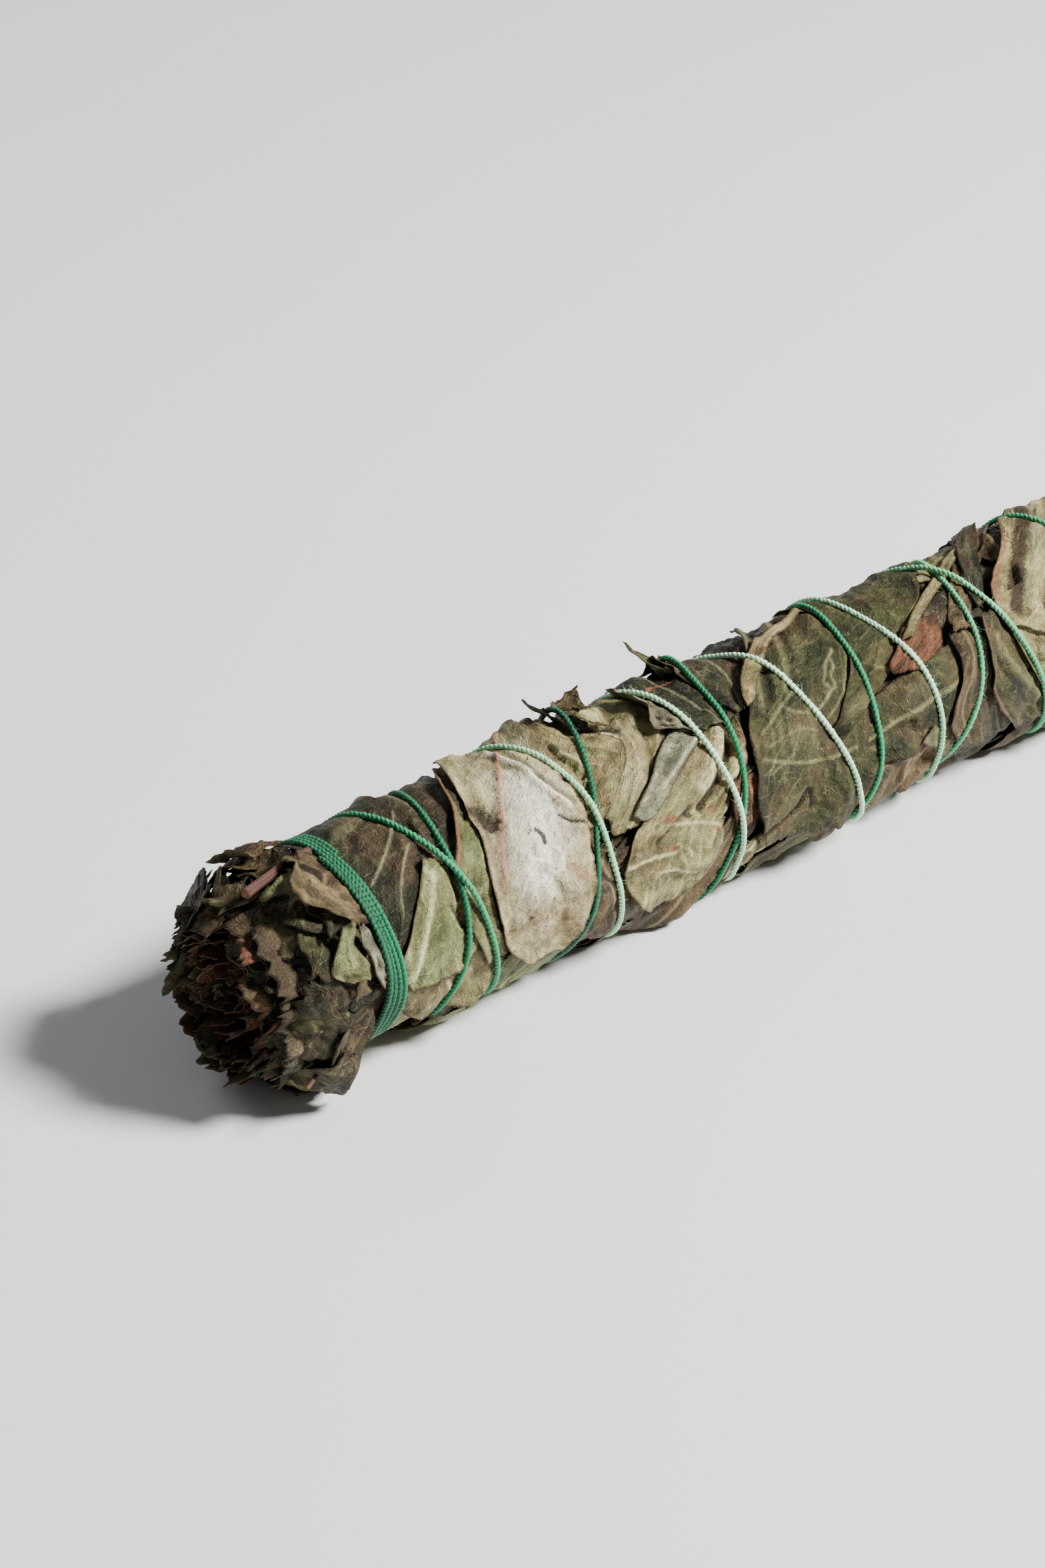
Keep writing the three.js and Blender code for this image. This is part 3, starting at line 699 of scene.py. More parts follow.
def leaf_material(kind):
    colours = {key: rgb(*value) for key, value in PALETTES[kind].items()}
    nodes = Nodes("leaf_" + kind)
    place = nodes.attribute("leaf_place")[0]
    _, vein, edge, hollow_shade = nodes.attribute("leaf_marks")
    _, pale, rust, dark = nodes.attribute("leaf_paint")
    _, under, tone, _ = nodes.attribute("leaf_side")

    speck = nodes.noise(place, 1.7, 4.0, 0.65)
    cloudy = nodes.noise(place, 0.16, 5.0, 0.62, 0.4)
    colour = nodes.mix(nodes.ramp(cloudy, 0.36, 0.66), colours["face"], colours["shade"])
    warmth = nodes.ramp(nodes.noise(place, 0.09, 3.0, 0.5), 0.42, 0.6)
    colour = nodes.tint(colour, warmth, 0.1, WARM)
    lengthwise = nodes.stretched(place, (0.45, 1.2, 1.0))
    streaks = nodes.noise(lengthwise, 1.0, 5.0, 0.7)
    colour = nodes.tint(colour, nodes.ramp(streaks, 0.45, 0.7), 0.36, colours["shade"])
    light_patch = nodes.ramp(nodes.noise(place, 0.45, 5.0, 0.7, 0.5), 0.55, 0.72)
    colour = nodes.tint(colour, light_patch, 0.3, colours["vein"])
    blotch = nodes.ramp(nodes.noise(place, 0.42, 6.0, 0.68, 0.8), 0.6, 0.68)
    colour = nodes.tint(colour, blotch, BLOTCHES[kind], colours["blotch"])

    # The net of fine veins, patchy as if it showed only here and there.
    warp = nodes.add("ShaderNodeTexNoise", {"Vector": place, "Scale": 0.7, "Detail": 2.0}).outputs[1]
    warped = nodes.add("ShaderNodeVectorMath", {0: place, 1: warp}, operation="ADD").outputs[0]
    net_line = nodes.ramp(nodes.cracks(warped, 0.55), 0.07, 0.0)
    fine_line = nodes.ramp(nodes.cracks(warped, 1.5), 0.1, 0.0)
    patchy = nodes.ramp(nodes.noise(place, 0.21, 2.0), 0.45, 0.62)
    colour = nodes.tint(colour, nodes.times(net_line, patchy), 0.22, colours["vein"])
    colour = nodes.tint(colour, nodes.times(fine_line, patchy), 0.1, colours["vein"])
    colour = nodes.tint(colour, nodes.ramp(vein, 0.3, 0.95), 0.42, colours["vein"])

    # The painted strokes, broken up by fine specks. Pale strokes paint pale veins and also painted
    # highlights on ridges and sheen, rust strokes paint stains, and dark strokes paint dark spots and also
    # painted shade in creases, holes and gaps.
    speckled = nodes.ramp(speck, 0.3, 0.66, 0.45, 1.0)
    stained = nodes.ramp(nodes.plus(rust, nodes.about_zero(speck, 1.1)), 0.2, 0.7)
    dark_spot_and_shade = nodes.ramp(nodes.plus(dark, nodes.about_zero(speck, 0.9)), 0.25, 0.6)
    colour = nodes.tint(colour, nodes.times(pale, speckled), 0.85, colours["vein"])
    colour = nodes.tint(colour, stained, 0.72, STAIN)
    colour = nodes.tint(colour, dark_spot_and_shade, 0.85, DARK_SPOT_AND_SHADE)

    dots = nodes.ramp(nodes.noise(place, 1.15, 2.0, 0.4), 0.7, 0.74)
    colour = nodes.tint(colour, dots, 0.75, colours["blotch"])
    scratches = nodes.noise(nodes.stretched(place, (3.2, 0.3, 1.0)), 1.1, 3.0, 0.6, 0.7)
    colour = nodes.tint(colour, nodes.ramp(scratches, 0.66, 0.7), 0.3, SCRATCH)
    # Darker towards each leaf's rim: partly the leaf's own browned rim, partly painted shade along the gaps
    # between leaves.
    ragged = nodes.plus(edge, nodes.times(nodes.noise(place, 0.9, 4.0), 0.8))
    colour = nodes.tint(colour, nodes.ramp(ragged, 0.95, 0.45), 0.8, colours["edge"])
    back = nodes.mix(cloudy, colours["back"], colours["shade"])
    colour = nodes.mix(under, colour, back)

    grain = nodes.ramp(nodes.noise(place, 5.0, 3.0, 0.75), 0.28, 0.72, 0.78, 1.2, False)
    # Painted shade in the hollows of the relief and painted light on its ridges, with the grain and each
    # leaf's own tone.
    painted_relief_shade = nodes.ramp(hollow_shade, -1.0, 1.0, 1.38, 0.42, False)
    each = nodes.ramp(tone, 0.0, 1.0, 0.84, 1.14, False)
    value = nodes.times(nodes.times(grain, painted_relief_shade), each)
    spread = nodes.add("ShaderNodeCombineColor", {0: value, 1: value, 2: value}).outputs[0]
    colour = nodes.mix(1.0, colour, spread, "MULTIPLY")

    height = nodes.times(nodes.noise(place, 1.3, 6.0, 0.68), 0.6)
    height = nodes.plus(height, nodes.times(nodes.noise(lengthwise, 2.0, 4.0, 0.6), 0.5))
    height = nodes.plus(height, nodes.times(net_line, 0.25))
    height = nodes.plus(height, nodes.times(fine_line, 0.14))
    rough = nodes.ramp(streaks, 0.3, 0.7, 0.42, 0.68)
    return nodes.finish(colour, rough, (height, 0.9, 0.0005), Specular_IOR_Level=0.22)


def thread_material():
    nodes = Nodes("cotton_thread")
    marks, shade, _, _ = nodes.attribute("thread_marks")
    strand = nodes.noise(nodes.stretched(marks, (0.0, 1.4, 9.0)), 2.0, 4.0, 0.7)
    slow = nodes.noise(nodes.stretched(marks, (0.0, 1.0, 0.0)), 0.05, 2.0)
    level = nodes.plus(shade, nodes.about_zero(strand, 0.5))
    level = nodes.plus(level, nodes.about_zero(slow, 0.3))
    ramp = nodes.add("ShaderNodeValToRGB", {"Fac": level})
    stops = ramp.color_ramp.elements
    for position, _ in THREAD_STOPS[1:-1]:
        stops.new(position)
    for stop, (position, colour) in zip(stops, THREAD_STOPS):
        stop.position = position
        stop.color = rgb(*colour)
    return nodes.finish(ramp.outputs[0], 0.62, (strand, 0.5, 0.0001), Specular_IOR_Level=0.4,
                        Sheen_Weight=0.12, Sheen_Roughness=0.4)


def stem_material():
    nodes = Nodes("dry_stem")
    place, _, _, cut = nodes.attribute("stem_place")
    grain = nodes.noise(nodes.stretched(place, (0.35, 3.5, 0.0)), 1.0, 5.0, 0.7)
    blotch = nodes.ramp(nodes.noise(place, 0.5, 3.0), 0.4, 0.66)
    colour = nodes.mix(grain, rgb(46, 27, 24), rgb(112, 76, 62))
    colour = nodes.tint(colour, blotch, 0.6, rgb(78, 44, 48))
    colour = nodes.mix(cut, colour, rgb(138, 86, 58))
    return nodes.finish(colour, 0.6, (grain, 0.7, 0.0003))


def floor_material():
    nodes = Nodes("pale_floor")
    place = nodes.add("ShaderNodeTexCoord").outputs["Object"]
    colour = nodes.mix(nodes.noise(place, 9.0, 4.0), rgb(224, 224, 226), rgb(228, 228, 230))
    return nodes.finish(colour, 0.6)


LEAF_MATERIALS = {kind: leaf_material(kind) for kind in PALETTES}
THREAD_MATERIAL = thread_material()
STEM_MATERIAL = stem_material()


def finish_leaf(name, parts, kind, nodes=()):
    finish_piece(name, parts, LEAF_MATERIALS[kind], nodes)


# ---- The leaves, from the deepest to the uppermost ----

# Places are (x, around). floor is the least radius a leaf lies at. curl and ragged have a value for
# each long edge, and ends has one for each tip. A stroke is (paint, strength, half width, height,
# path), and with strength 0 it only folds the leaf. Pale paint stands for pale veins and also for
# painted highlights on ridges and sheen; dark paint stands for dark spots and also for painted
# shade in creases, holes and gaps.


def placed(rows, node=None, **shared):
    """Leaves from rows of kind, x, around, length, width, turn, curl and a dict of other settings."""
    keys = ("kind", "x", "around", "length", "width", "turn", "curl")
    leaves = []
    for number, row in enumerate(rows, 1):
        settings = dict(zip(keys, row), **shared)
        settings.update(*row[len(keys):])
        if node:
            settings["node"] = node % number
        leaves.append(settings)
    return leaves


def leaf(kind, first, second, *strokes, **settings):
    """A leaf between two edges."""
    return dict(settings, kind=kind, edges=(first, second), strokes=strokes)


DEEP_LEAVES = placed([
    ("dark", -85.8, 10, 52, 26, -50),
    ("tan", -68.2, 120, 60, 26, -20),
    ("dark", -33, 185, 62, 26, -12),
    ("olive", -46.2, 285, 60, 27, -18),
    ("brown", 5.5, 110, 58, 26, -25),
    ("dark", 22, 250, 60, 27, -20),
    ("olive", 38.5, 165, 56, 25, -15),
    ("brown", 33, 30, 54, 24, -30),
    ("olive", 78, 90, 56, 26, -20),
    ("dark", 79, 232, 52, 26, -15),
    ("dark", -77, 225, 50, 26, -15),
], "leaf_inner_%d", floor=0)

UNDER_LEAVES = placed([
    ("dark", -70, 180, 42, 24, -14),
    ("olive", -35, 176, 44, 26, -20),
    ("tan", 0, 184, 44, 25, -16),
    ("dark", 35, 178, 44, 26, -24),
    ("green", 70, 182, 42, 24, -18),
], "leaf_under_%d")

SIDE_LEAVES = placed([
    ("green", -70, 140, 48, 19, -48, (0.5, 0.5)),
    ("olive", -8, 142, 50, 20, -40, (0.4, 0.7)),
    ("brown", -38, 148, 46, 18, -55, (0.6, 0.4)),
    ("dark", 22, 140, 48, 18, -44, (0.5, 0.6)),
    ("olive", 58, 130, 50, 21, -50, (0.5, 0.6)),
    ("tan", 84, 150, 42, 19, -42, (0.6, 0.6)),
    ("dark", -58, 232, 48, 20, -46, (0.4, 0.6)),
    ("olive", -22, 236, 50, 20, -38, (0.4, 0.8)),
    ("tan", 8, 240, 48, 19, -50, (0.6, 0.5)),
    ("green", 44, 236, 50, 21, -44, (0.5, 0.5)),
    ("olive", 74, 244, 46, 20, -36, (0.4, 0.6)),
    ("brown", -84, 242, 36, 18, -52, (0.5, 0.4)),
])

BACK_LEAVES = placed([
    ("olive", -82, 283, 44, 22, -48, (0.5, 0.5), dict(node="leaf_back_1")),
    ("brown", -66, 300, 46, 15, -60, (0.5, 0.6), dict(fold=0.4)),
    ("pale", -48, 288, 50, 19, -62, (0.4, 0.9), dict(ragged=(0.1, 0.3))),
    ("green", -28, 292, 54, 22, -50, (0.4, 0.9), dict(node="leaf_back_2")),
    ("dark", -8, 300, 46, 14, -56, (0.5, 0.5), dict(fold=0.5)),
    ("pale", 10, 290, 52, 21, -58, (0.4, 0.7), dict(node="leaf_back_3", ragged=(0.1, 0.25))),
    ("olive", 28, 298, 52, 20, -44, (0.4, 0.6)),
    ("tan", 46.2, 290, 50, 20, -52, (0.5, 0.7), dict(node="leaf_back_4")),
    ("brown", 60, 300, 46, 15, -58, (0.6, 0.6), dict(fold=0.5)),
    ("green", 80, 300, 54, 24, -40, (0.5, 0.6), dict(node="leaf_right_end_2")),
    ("dark", 92, 276, 38, 18, -30, (0.5, 0.6)),
])

RIGHT_LEAVES = placed([
    ("brown", 58, 96, 48, 18, -46, (0.5, 0.6)),
    ("olive", 66, 60, 52, 20, -52, (0.5, 0.6)),
    ("tan", 62, 8, 50, 17, -50, (0.6, 0.6), dict(fold=0.4)),
    ("dark", 80, 96, 46, 20, -42, (0.5, 0.6)),
    ("olive", 82, 36, 54, 23, -46, (0.5, 0.6), dict(node="leaf_right_end_1")),
    ("pale", 92, 78, 38, 16, -40, (0.5, 0.8)),
])

SHOWN_LEAVES = [
    # Left of the pale leaf.
    leaf("dark", [(-84, -50), (-82, -12), (-81, 15), (-80, 42)],
         [(-64, -50), (-68, -12), (-71, 15), (-75, 42)],
         floor=15.2),
    leaf("dark", [(-96, -50), (-95, -15), (-95, 20), (-95, 50), (-94, 76)],
         [(-76, -50), (-78, -12), (-80, 17), (-84.5, 44), (-91, 72)],
         ("pale", 0.75, 0.3, 0.25, [(-90, 28), (-86, 18), (-81, 3), (-77, -12)]),
         ("pale", 0.6, 0.25, 0.2, [(-88.5, 50), (-87, 38), (-83.5, 24), (-81, 17)]),
         ("dark", 0.0, 1.0, 0.6, [(-90, 60), (-88, 40), (-84, 24), (-80, 8)]),
         # A dark wedge of painted shade.
         ("dark", 0.3, 1.2, -0.6, [(-86, 56), (-85, 40), (-82, 28)]),
         ("dark", 0.6, 1.2, -0.3, [(-86, -8), (-88, 5)]),
         node="leaf_veined_dark", midrib=0.0, pleat=0.35, crease=0.3, curl=(0.1, 0.35)),
    leaf("tan", [(-94, 72), (-93, 90), (-91, 106), (-86, 122)],
         [(-75, 72), (-74, 88), (-73, 104), (-79, 122)],
         floor=15.4, curl=(0.2, 0.6), ragged=(0.1, 0.3)),
    leaf("green", [(-81, 27), (-84, 42), (-86.5, 53), (-89.5, 64), (-91.5, 76), (-90, 90)],
         [(-79.5, 29), (-77, 42), (-76, 54), (-76, 66), (-77, 78), (-80, 91)],
         ("pale", 0.9, 0.7, 0.4, [(-81, 37), (-84, 55), (-87, 70), (-89.5, 82)]),
         ("rust", 0.7, 0.5, -0.2, [(-79, 60), (-78.6, 68), (-79.5, 75)]),
         ("dark", 0.5, 0.5, -0.3, [(-80, 56), (-79.5, 64), (-79, 73)]),
         node="leaf_petal_green", midrib=0.0, curl=(0.5, 0.5), ends=(0.3, 0.9), ragged=(0.04, 0.1)),
    leaf("green",
         [(-63, -42), (-69, -10), (-72, 12), (-75.2, 30), (-78, 45), (-78.6, 60), (-78, 76), (-76, 96)],
         [(-59, -42), (-66, -10), (-68.5, 12), (-70, 30), (-71.5, 45), (-72.5, 60), (-72.5, 76), (-72, 96)],
         ("rust", 1.0, 0.5, 0.35, [(-62.6, -42), (-68.6, -10), (-71.6, 12), (-74.8, 30), (-77.6, 45)]),
         # Painted shade in the dark hole beside the rim.
         ("dark", 0.75, 1.0, -0.5, [(-66, -20), (-68.6, -2), (-70, 14)]),
         ("dark", 0.4, 0.5, -0.25, [(-74.5, 60), (-74.6, 76), (-74, 90)]),
         node="leaf_folded_1", midrib=0.0, pleat=0.3, curl=(0.6, 0.1)),
    # Below and right of the pale leaf.
    leaf("brown", [(-60, 66), (-60, 88), (-58, 104), (-53, 124)],
         [(-45, 66), (-43, 84), (-42, 102), (-43, 124)],
         ("dark", 0.8, 0.4, -0.4, [(-53, 75), (-52, 80), (-50.5, 86)]),
         floor=15.3, curl=(0.2, 0.4)),
    leaf("tan", [(-49, -38), (-48, -8), (-48, 22), (-49, 44), (-49, 60)],
         [(-24, -38), (-25, -8), (-27, 18), (-34, 40), (-43, 60)],
         ("dark", 0.45, 1.6, -0.4, [(-36, -8), (-35.4, 6), (-34.6, 18)]),
         # Painted shadow of the grey strip, in the valley along its edge.
         ("dark", 0.7, 1.2, -1.0, [(-29, 16), (-33, 30), (-37.6, 44)]),
         ("dark", 0.0, 1.6, 0.9, [(-35, 8), (-37, 22), (-41, 38)]),
         ("pale", 0.7, 2.6, 0.0, [(-41, 12), (-41.6, 26), (-43, 40)]),
         ("dark", 0.3, 2.2, 0.0, [(-46, 30), (-46, 44), (-46, 56)]),
         ("dark", 0.7, 0.8, -0.3, [(-40, 3), (-38.5, 8)]),
         ("dark", 0.5, 1.6, -0.3, [(-43, -10), (-41, -2)]),
         node="leaf_tan_creased", midrib=0.0, pleat=0.5, clear=0.3, curl=(0.2, 0.3)),
    leaf("tan", [(-56, -45), (-55, -12), (-54, 20), (-53.5, 52)],
         [(-45, -45), (-45.5, -8), (-41, 20), (-50, 51)],
         ("rust", 0.3, 2.4, 0.0, [(-46, 18), (-49, 44)]),
         ("dark", 0.34, 3.4, -0.3, [(-52, -20), (-51, 10), (-52, 34)]),
         ("dark", 0.8, 0.4, 0.3, [(-43.4, 34), (-44.6, 42), (-47.4, 52)]),
         ("dark", 0.7, 0.9, -0.4, [(-45.6, -14), (-43.4, -4), (-41.6, 6)]),
         node="leaf_folded_2", pleat=0.4, curl=(0.2, 0.7), ragged=(0.05, 0.3)),
    leaf("tan", [(-25, 18), (-29, 31), (-35, 43), (-42, 56), (-47, 69), (-49, 84), (-47, 100), (-42, 118)],
         [(-18, 22), (-19.5, 37), (-20.5, 51), (-24, 66), (-27, 76), (-28, 88), (-31, 102), (-36, 118)],
         # A crease with painted shade in its valley and painted highlights on the ridges beside it.
         ("dark", 0.7, 0.8, -1.2, [(-20.2, 27), (-21.8, 37), (-24, 48), (-27.4, 57), (-32, 66)]),
         ("pale", 0.4, 1.0, 1.1, [(-18, 30), (-19.6, 40), (-22, 51), (-25.4, 60)]),
         ("pale", 0.5, 1.3, 0.8, [(-22.4, 27), (-24.6, 38), (-27.6, 48), (-31, 55)]),
         ("dark", 0.25, 2.6, -0.3, [(-36, 56), (-38, 70), (-42, 84)]),
         ("dark", 0.3, 1.4, -0.5, [(-45, 96), (-38, 100), (-32, 104)]),
         ("dark", 0.0, 1.2, 0.5, [(-44, 88), (-38, 91), (-32, 95)]),
         ("pale", 0.7, 0.6, 0.3, [(-25, 42), (-28, 49), (-29.5, 56)]),
         ("dark", 0.4, 0.5, -0.5, [(-34, 63), (-37, 68), (-41, 75)]),
         ("rust", 0.9, 0.8, 0.0, [(-38.5, 64), (-37.5, 66)]),
         ("dark", 0.7, 0.6, 0.0, [(-35, 66), (-34.5, 67)]),
         ("rust", 0.8, 0.7, 0.0, [(-39, 80), (-38.4, 81)]),
         ("rust", 0.7, 0.6, 0.0, [(-30, 80), (-29.6, 81)]),
         ("rust", 0.5, 1.3, 0.0, [(-32, 64), (-29.5, 70)]),
         ("rust", 0.6, 0.8, 0.0, [(-23, 35), (-21.8, 44)]),
         ("pale", 0.9, 0.3, 0.14, [(-48, 79), (-43, 81), (-38, 84)]),
         ("pale", 0.7, 0.25, 0.1, [(-38, 68), (-33, 73), (-29, 79)]),
         ("pale", 0.7, 0.25, 0.1, [(-42, 90), (-38, 94), (-34, 101)]),
         ("rust", 0.7, 0.5, 0.1, [(-20.6, 32), (-20.8, 50), (-23.5, 62)]),
         node="leaf_tan_spotted", midrib=0.5, rib_at=0.3, pleat=0.5, crease=0.45, clear=0.35,
         curl=(0.35, 0.4), ragged=(0.05, 0.1)),
    leaf("grey", [(-27.6, 19), (-32.2, 24), (-36, 31), (-39.6, 40), (-43, 48), (-45.8, 55)],
         [(-24.6, 26), (-27.4, 34), (-31.4, 40.6), (-35.2, 47.6), (-39.4, 55), (-43, 60)],
         ("dark", 0.35, 1.4, -0.2, [(-30, 27), (-36, 38), (-41, 50)]),
         ("pale", 0.5, 0.4, 0.3, [(-27, 30), (-32, 38), (-38, 47)]),
         floor=15.8, midrib=0.0, thick=1.4, curl=(0.5, 0.2), ends=(0.1, 0.2)),
    leaf("pale",
         [(-62, -45), (-67, -12), (-69.6, 14), (-70.5, 30), (-72.6, 52), (-73, 74), (-72, 92), (-67, 110)],
         [(-47, -45), (-49, -12), (-50.5, 14), (-51.5, 34), (-53.6, 54), (-54.6, 74), (-57, 94), (-61, 110)],
         ("rust", 0.95, 0.4, 0.35,
          [(-50, -42), (-53.5, -28), (-56.4, -15), (-60, 0), (-63.3, 15), (-66, 29), (-69, 44),
           (-70.6, 60)]),
         # A dimple, with painted shade in its hollow.
         ("dark", 0.7, 2.3, -1.2, [(-68, 15), (-67.2, 25)]),
         ("dark", 0.3, 3.0, 0.0, [(-64, -34), (-66, -10), (-68, 8), (-70, 34), (-72, 58)]),
         # Painted highlight across the middle of the pale leaf, where the light falls on it.
         ("pale", 1.0, 4.4, 0.3, [(-59, 20), (-60, 32), (-62, 46), (-63.6, 58)]),
         # Painted shade over the lower part of the pale leaf.
         ("dark", 0.22, 4.0, 0.0, [(-66, 88), (-60, 98), (-62, 108)]),
         ("pale", 0.5, 0.7, 0.8, [(-57, -22), (-56.8, 0), (-56, 20), (-54.4, 34)]),
         ("dark", 0.2, 0.9, -0.8, [(-54.6, -24), (-55.2, 0), (-54.4, 20), (-52.8, 32)]),
         ("dark", 0.0, 1.2, -0.5, [(-63, 60), (-60, 78), (-62, 96)]),
         ("dark", 0.0, 1.4, 0.5, [(-66, 56), (-66.4, 76), (-64, 96)]),
         ("dark", 1.0, 0.36, -0.3, [(-61.6, 39), (-61.1, 43), (-61.3, 47)]),
         ("dark", 0.5, 0.4, 0.0, [(-61.4, 4), (-61.2, 5)]),
         ("dark", 0.6, 0.45, 0.0, [(-67.5, 79), (-67.2, 80)]),
         ("rust", 0.6, 1.4, 0.0, [(-58, 65), (-57, 69)]),
         ("dark", 0.9, 0.25, -0.35, [(-56.6, 37), (-55.4, 42), (-53.2, 46)]),
         ("rust", 0.35, 3.5, 0.0, [(-66, 78), (-60, 92)]),
         node="leaf_pale_broad", floor=16.0, midrib=0.0, vein=0.05, pleat=0.3, crease=0.26, clear=0.2,
         curl=(0.55, 0.6), ragged=(0.03, 0.14)),
    # Crumbs and torn points round the emerald thread on top.
    leaf("dark", [(-47, -30), (-46, -14), (-45.4, 2)], [(-42.6, -30), (-41.4, -14), (-42, 2)],
         floor=16.0, midrib=0.0, crumple=0.6, torn=3.0, curl=(1.2, 0.8), ends=(2.2, 0.4), ragged=(0.5, 0.5)),
    leaf("brown", [(-44, -26), (-43.6, -18), (-42, -6)], [(-38, -24), (-38.6, -14), (-39, -4)],
         floor=16.6, midrib=0.0, crumple=0.7, torn=3.0, curl=(1.4, 1.0), ends=(2.6, 0.6), ragged=(0.6, 0.6)),
    leaf("tan", [(-43, -8), (-42.6, 0), (-42, 8)], [(-38.4, -6), (-38, 2), (-38.6, 9)],
         floor=16.2, midrib=0.0, crumple=0.4, torn=2.4, curl=(0.8, 0.9), ends=(0.6, 0.8), ragged=(0.5, 0.5)),
    # The holed scrap on top.
    leaf("grey", [(-33.5, -22), (-33, -8), (-33.2, 4), (-34, 18), (-30, 24)],
         [(-30, -18), (-28.6, -4), (-28, 8), (-27.4, 20), (-26.8, 30)],
         # The dark dots are painted holes: painted shade where the scrap is holed through.
         ("dark", 1.0, 0.45, -0.3, [(-31.3, 12.6), (-31.1, 13.6)]),
         ("dark", 1.0, 0.4, -0.3, [(-31.6, 17.6), (-31.3, 18.6)]),
         ("dark", 1.0, 0.35, -0.3, [(-30.2, 16.6), (-30, 17.6)]),
         ("dark", 1.0, 0.35, -0.3, [(-31, 20.2), (-30.4, 21)]),
         ("pale", 0.9, 0.35, 0.2, [(-32.6, -10), (-32.8, 3), (-33.8, 17)]),
         floor=17.0, midrib=0.0, crumple=0.4, thick=1.2, torn=3.4, curl=(1.6, 0.5), ragged=(0.75, 0.6)),
    leaf("dark", [(-31, -48), (-30, -22), (-29, -2), (-28, 16), (-26, 31)],
         [(-17, -48), (-17.4, -22), (-18, -2), (-18, 14), (-18.6, 30)],
         ("pale", 0.8, 0.4, 0.1, [(-26, 30.5), (-22, 30), (-18.8, 29.4)]),
         ("rust", 0.7, 0.5, 0.15, [(-28.6, -6), (-25, -13), (-20, -15)]),
         node="leaf_olive_small", floor=16.0, curl=(0.3, 0.3), ends=(0.1, 0.5)),
    leaf("rust", [(-25, 58), (-26, 74), (-25, 90)], [(-18, 62), (-16.5, 77), (-19, 89)], floor=15.4),
    leaf("olive", [(-23, -36), (-22, -26), (-21, -14)], [(-17, -36), (-17, -24), (-18, -12)],
         floor=16.4, midrib=0.0, crumple=0.6, torn=3.0, curl=(1.6, 1.0), ends=(3.4, 0.3), ragged=(0.5, 0.4)),
    # The broad olive leaf and what lies round it.
    leaf("dark", [(-20, -48), (-20, -14), (-20, 12), (-19, 30)], [(2, -48), (-4, -16), (-8, 2), (-14, 25)],
         floor=15.6),
    leaf("brown", [(-6, 84), (-6, 98), (-4, 112), (0, 126)], [(26, 82), (26, 96), (24, 110), (20, 126)],
         floor=14.8, crumple=0.3),
    leaf("olive", [(34, 42), (22, 44), (12, 48), (3, 56), (-6, 66)],
         [(31, 74), (22, 82), (13, 84), (5, 87), (-4, 92)],
         ("pale", 0.5, 0.4, 0.1, [(4, 77), (-1, 74), (-6, 71)]),
         node="leaf_olive_lower", floor=15.7, curl=(0.1, 0.5), ragged=(0.02, 0.12)),
    leaf("olive", [(-1, -40), (-7, -6), (-11, 9), (-15, 25), (-18.5, 41), (-20, 60), (-21, 85), (-18, 112)],
         [(16, -40), (13, -8), (11, 14), (8, 34), (5, 54), (2.5, 74), (0, 92), (-4, 112)],
         ("dark", 1.0, 0.6, -0.9, [(-22, 103), (-17, 99), (-13, 93), (-11, 84), (-9.8, 86), (-9.2, 95)]),
         ("dark", 0.0, 1.6, 0.5, [(-20, 90), (-15, 86), (-12, 76)]),
         # Pleats: pale paint on the ridges and dark paint in the valleys, as painted highlight and painted
         # shade.
         ("pale", 0.32, 0.9, 0.9, [(-2, -30), (-8, 0), (-14, 30)]),
         ("dark", 0.4, 0.9, -0.8, [(0, -30), (-5.6, 0), (-11.4, 30)]),
         ("pale", 0.26, 0.9, 0.7, [(4, -30), (-2, 0), (-8, 28)]),
         ("dark", 0.32, 0.8, -0.6, [(6, -30), (0.4, 0), (-5.5, 26)]),
         ("dark", 0.0, 1.2, 0.5, [(-6, -20), (-6.4, 0), (-8, 22), (-13, 36)]),
         ("dark", 0.0, 1.5, -0.5, [(2, -30), (2, -6), (-1, 14)]),
         ("dark", 0.0, 1.6, 0.5, [(7, -30), (7, -8), (4, 14)]),
         ("pale", 0.6, 0.3, 0.12, [(-16, 44), (-11, 36), (-6.5, 30)]),
         ("pale", 0.8, 0.3, 0.1, [(-18, 57), (-12, 66), (-6, 71), (0, 72)]),
         ("pale", 1.0, 0.28, 0.05, [(-4, 45), (-2, 42), (0, 38), (-0.5, 33), (1, 28), (2, 24), (5, 18)]),
         ("pale", 0.8, 0.25, 0.05, [(-1.5, 40), (1, 37), (1.5, 31), (3, 27), (3.4, 22)]),
         ("pale", 0.8, 0.25, 0.05, [(-10, 35), (-8.5, 41), (-6.5, 44)]),
         ("pale", 0.6, 0.22, 0.08, [(-3, 51), (1, 44), (5, 31), (8, 18), (10, 4)]),
         # Painted sheen: a pale highlight patch on the broad olive leaf.
         ("pale", 0.35, 1.4, 0.1, [(-5, 19), (-1, 9), (2, 0)]),
         ("pale", 0.28, 2.6, 0.0, [(-13, 50), (-8, 58)]),
         ("pale", 0.7, 0.2, 0.05, [(-16, 52), (-10, 50), (-6, 55)]),
         ("pale", 0.7, 0.2, 0.05, [(-17, 66), (-12, 60), (-9, 48)]),
         node="leaf_olive_broad", floor=16.1, midrib=0.25, rib_at=-0.35, pleat=0.4, crease=0.3, clear=0.2,
         curl=(0.3, 0.3), ragged=(0.03, 0.05)),
    leaf("tan", [(-17, 29), (-15, 17), (-12, 7), (-9, 0), (-6, -6), (0, -13), (9, -21)],
         [(-14.6, 27), (-11.6, 18), (-8.4, 11), (-6, 5), (-3, -2), (2, -9), (10, -17)],
         ("rust", 0.5, 0.5, 0.1, [(-16, 26), (-10, 5), (-4, -7), (6, -17)]),
         floor=16.2, midrib=0.0, curl=(0.5, 0.1), ends=(0.1, 0.1)),
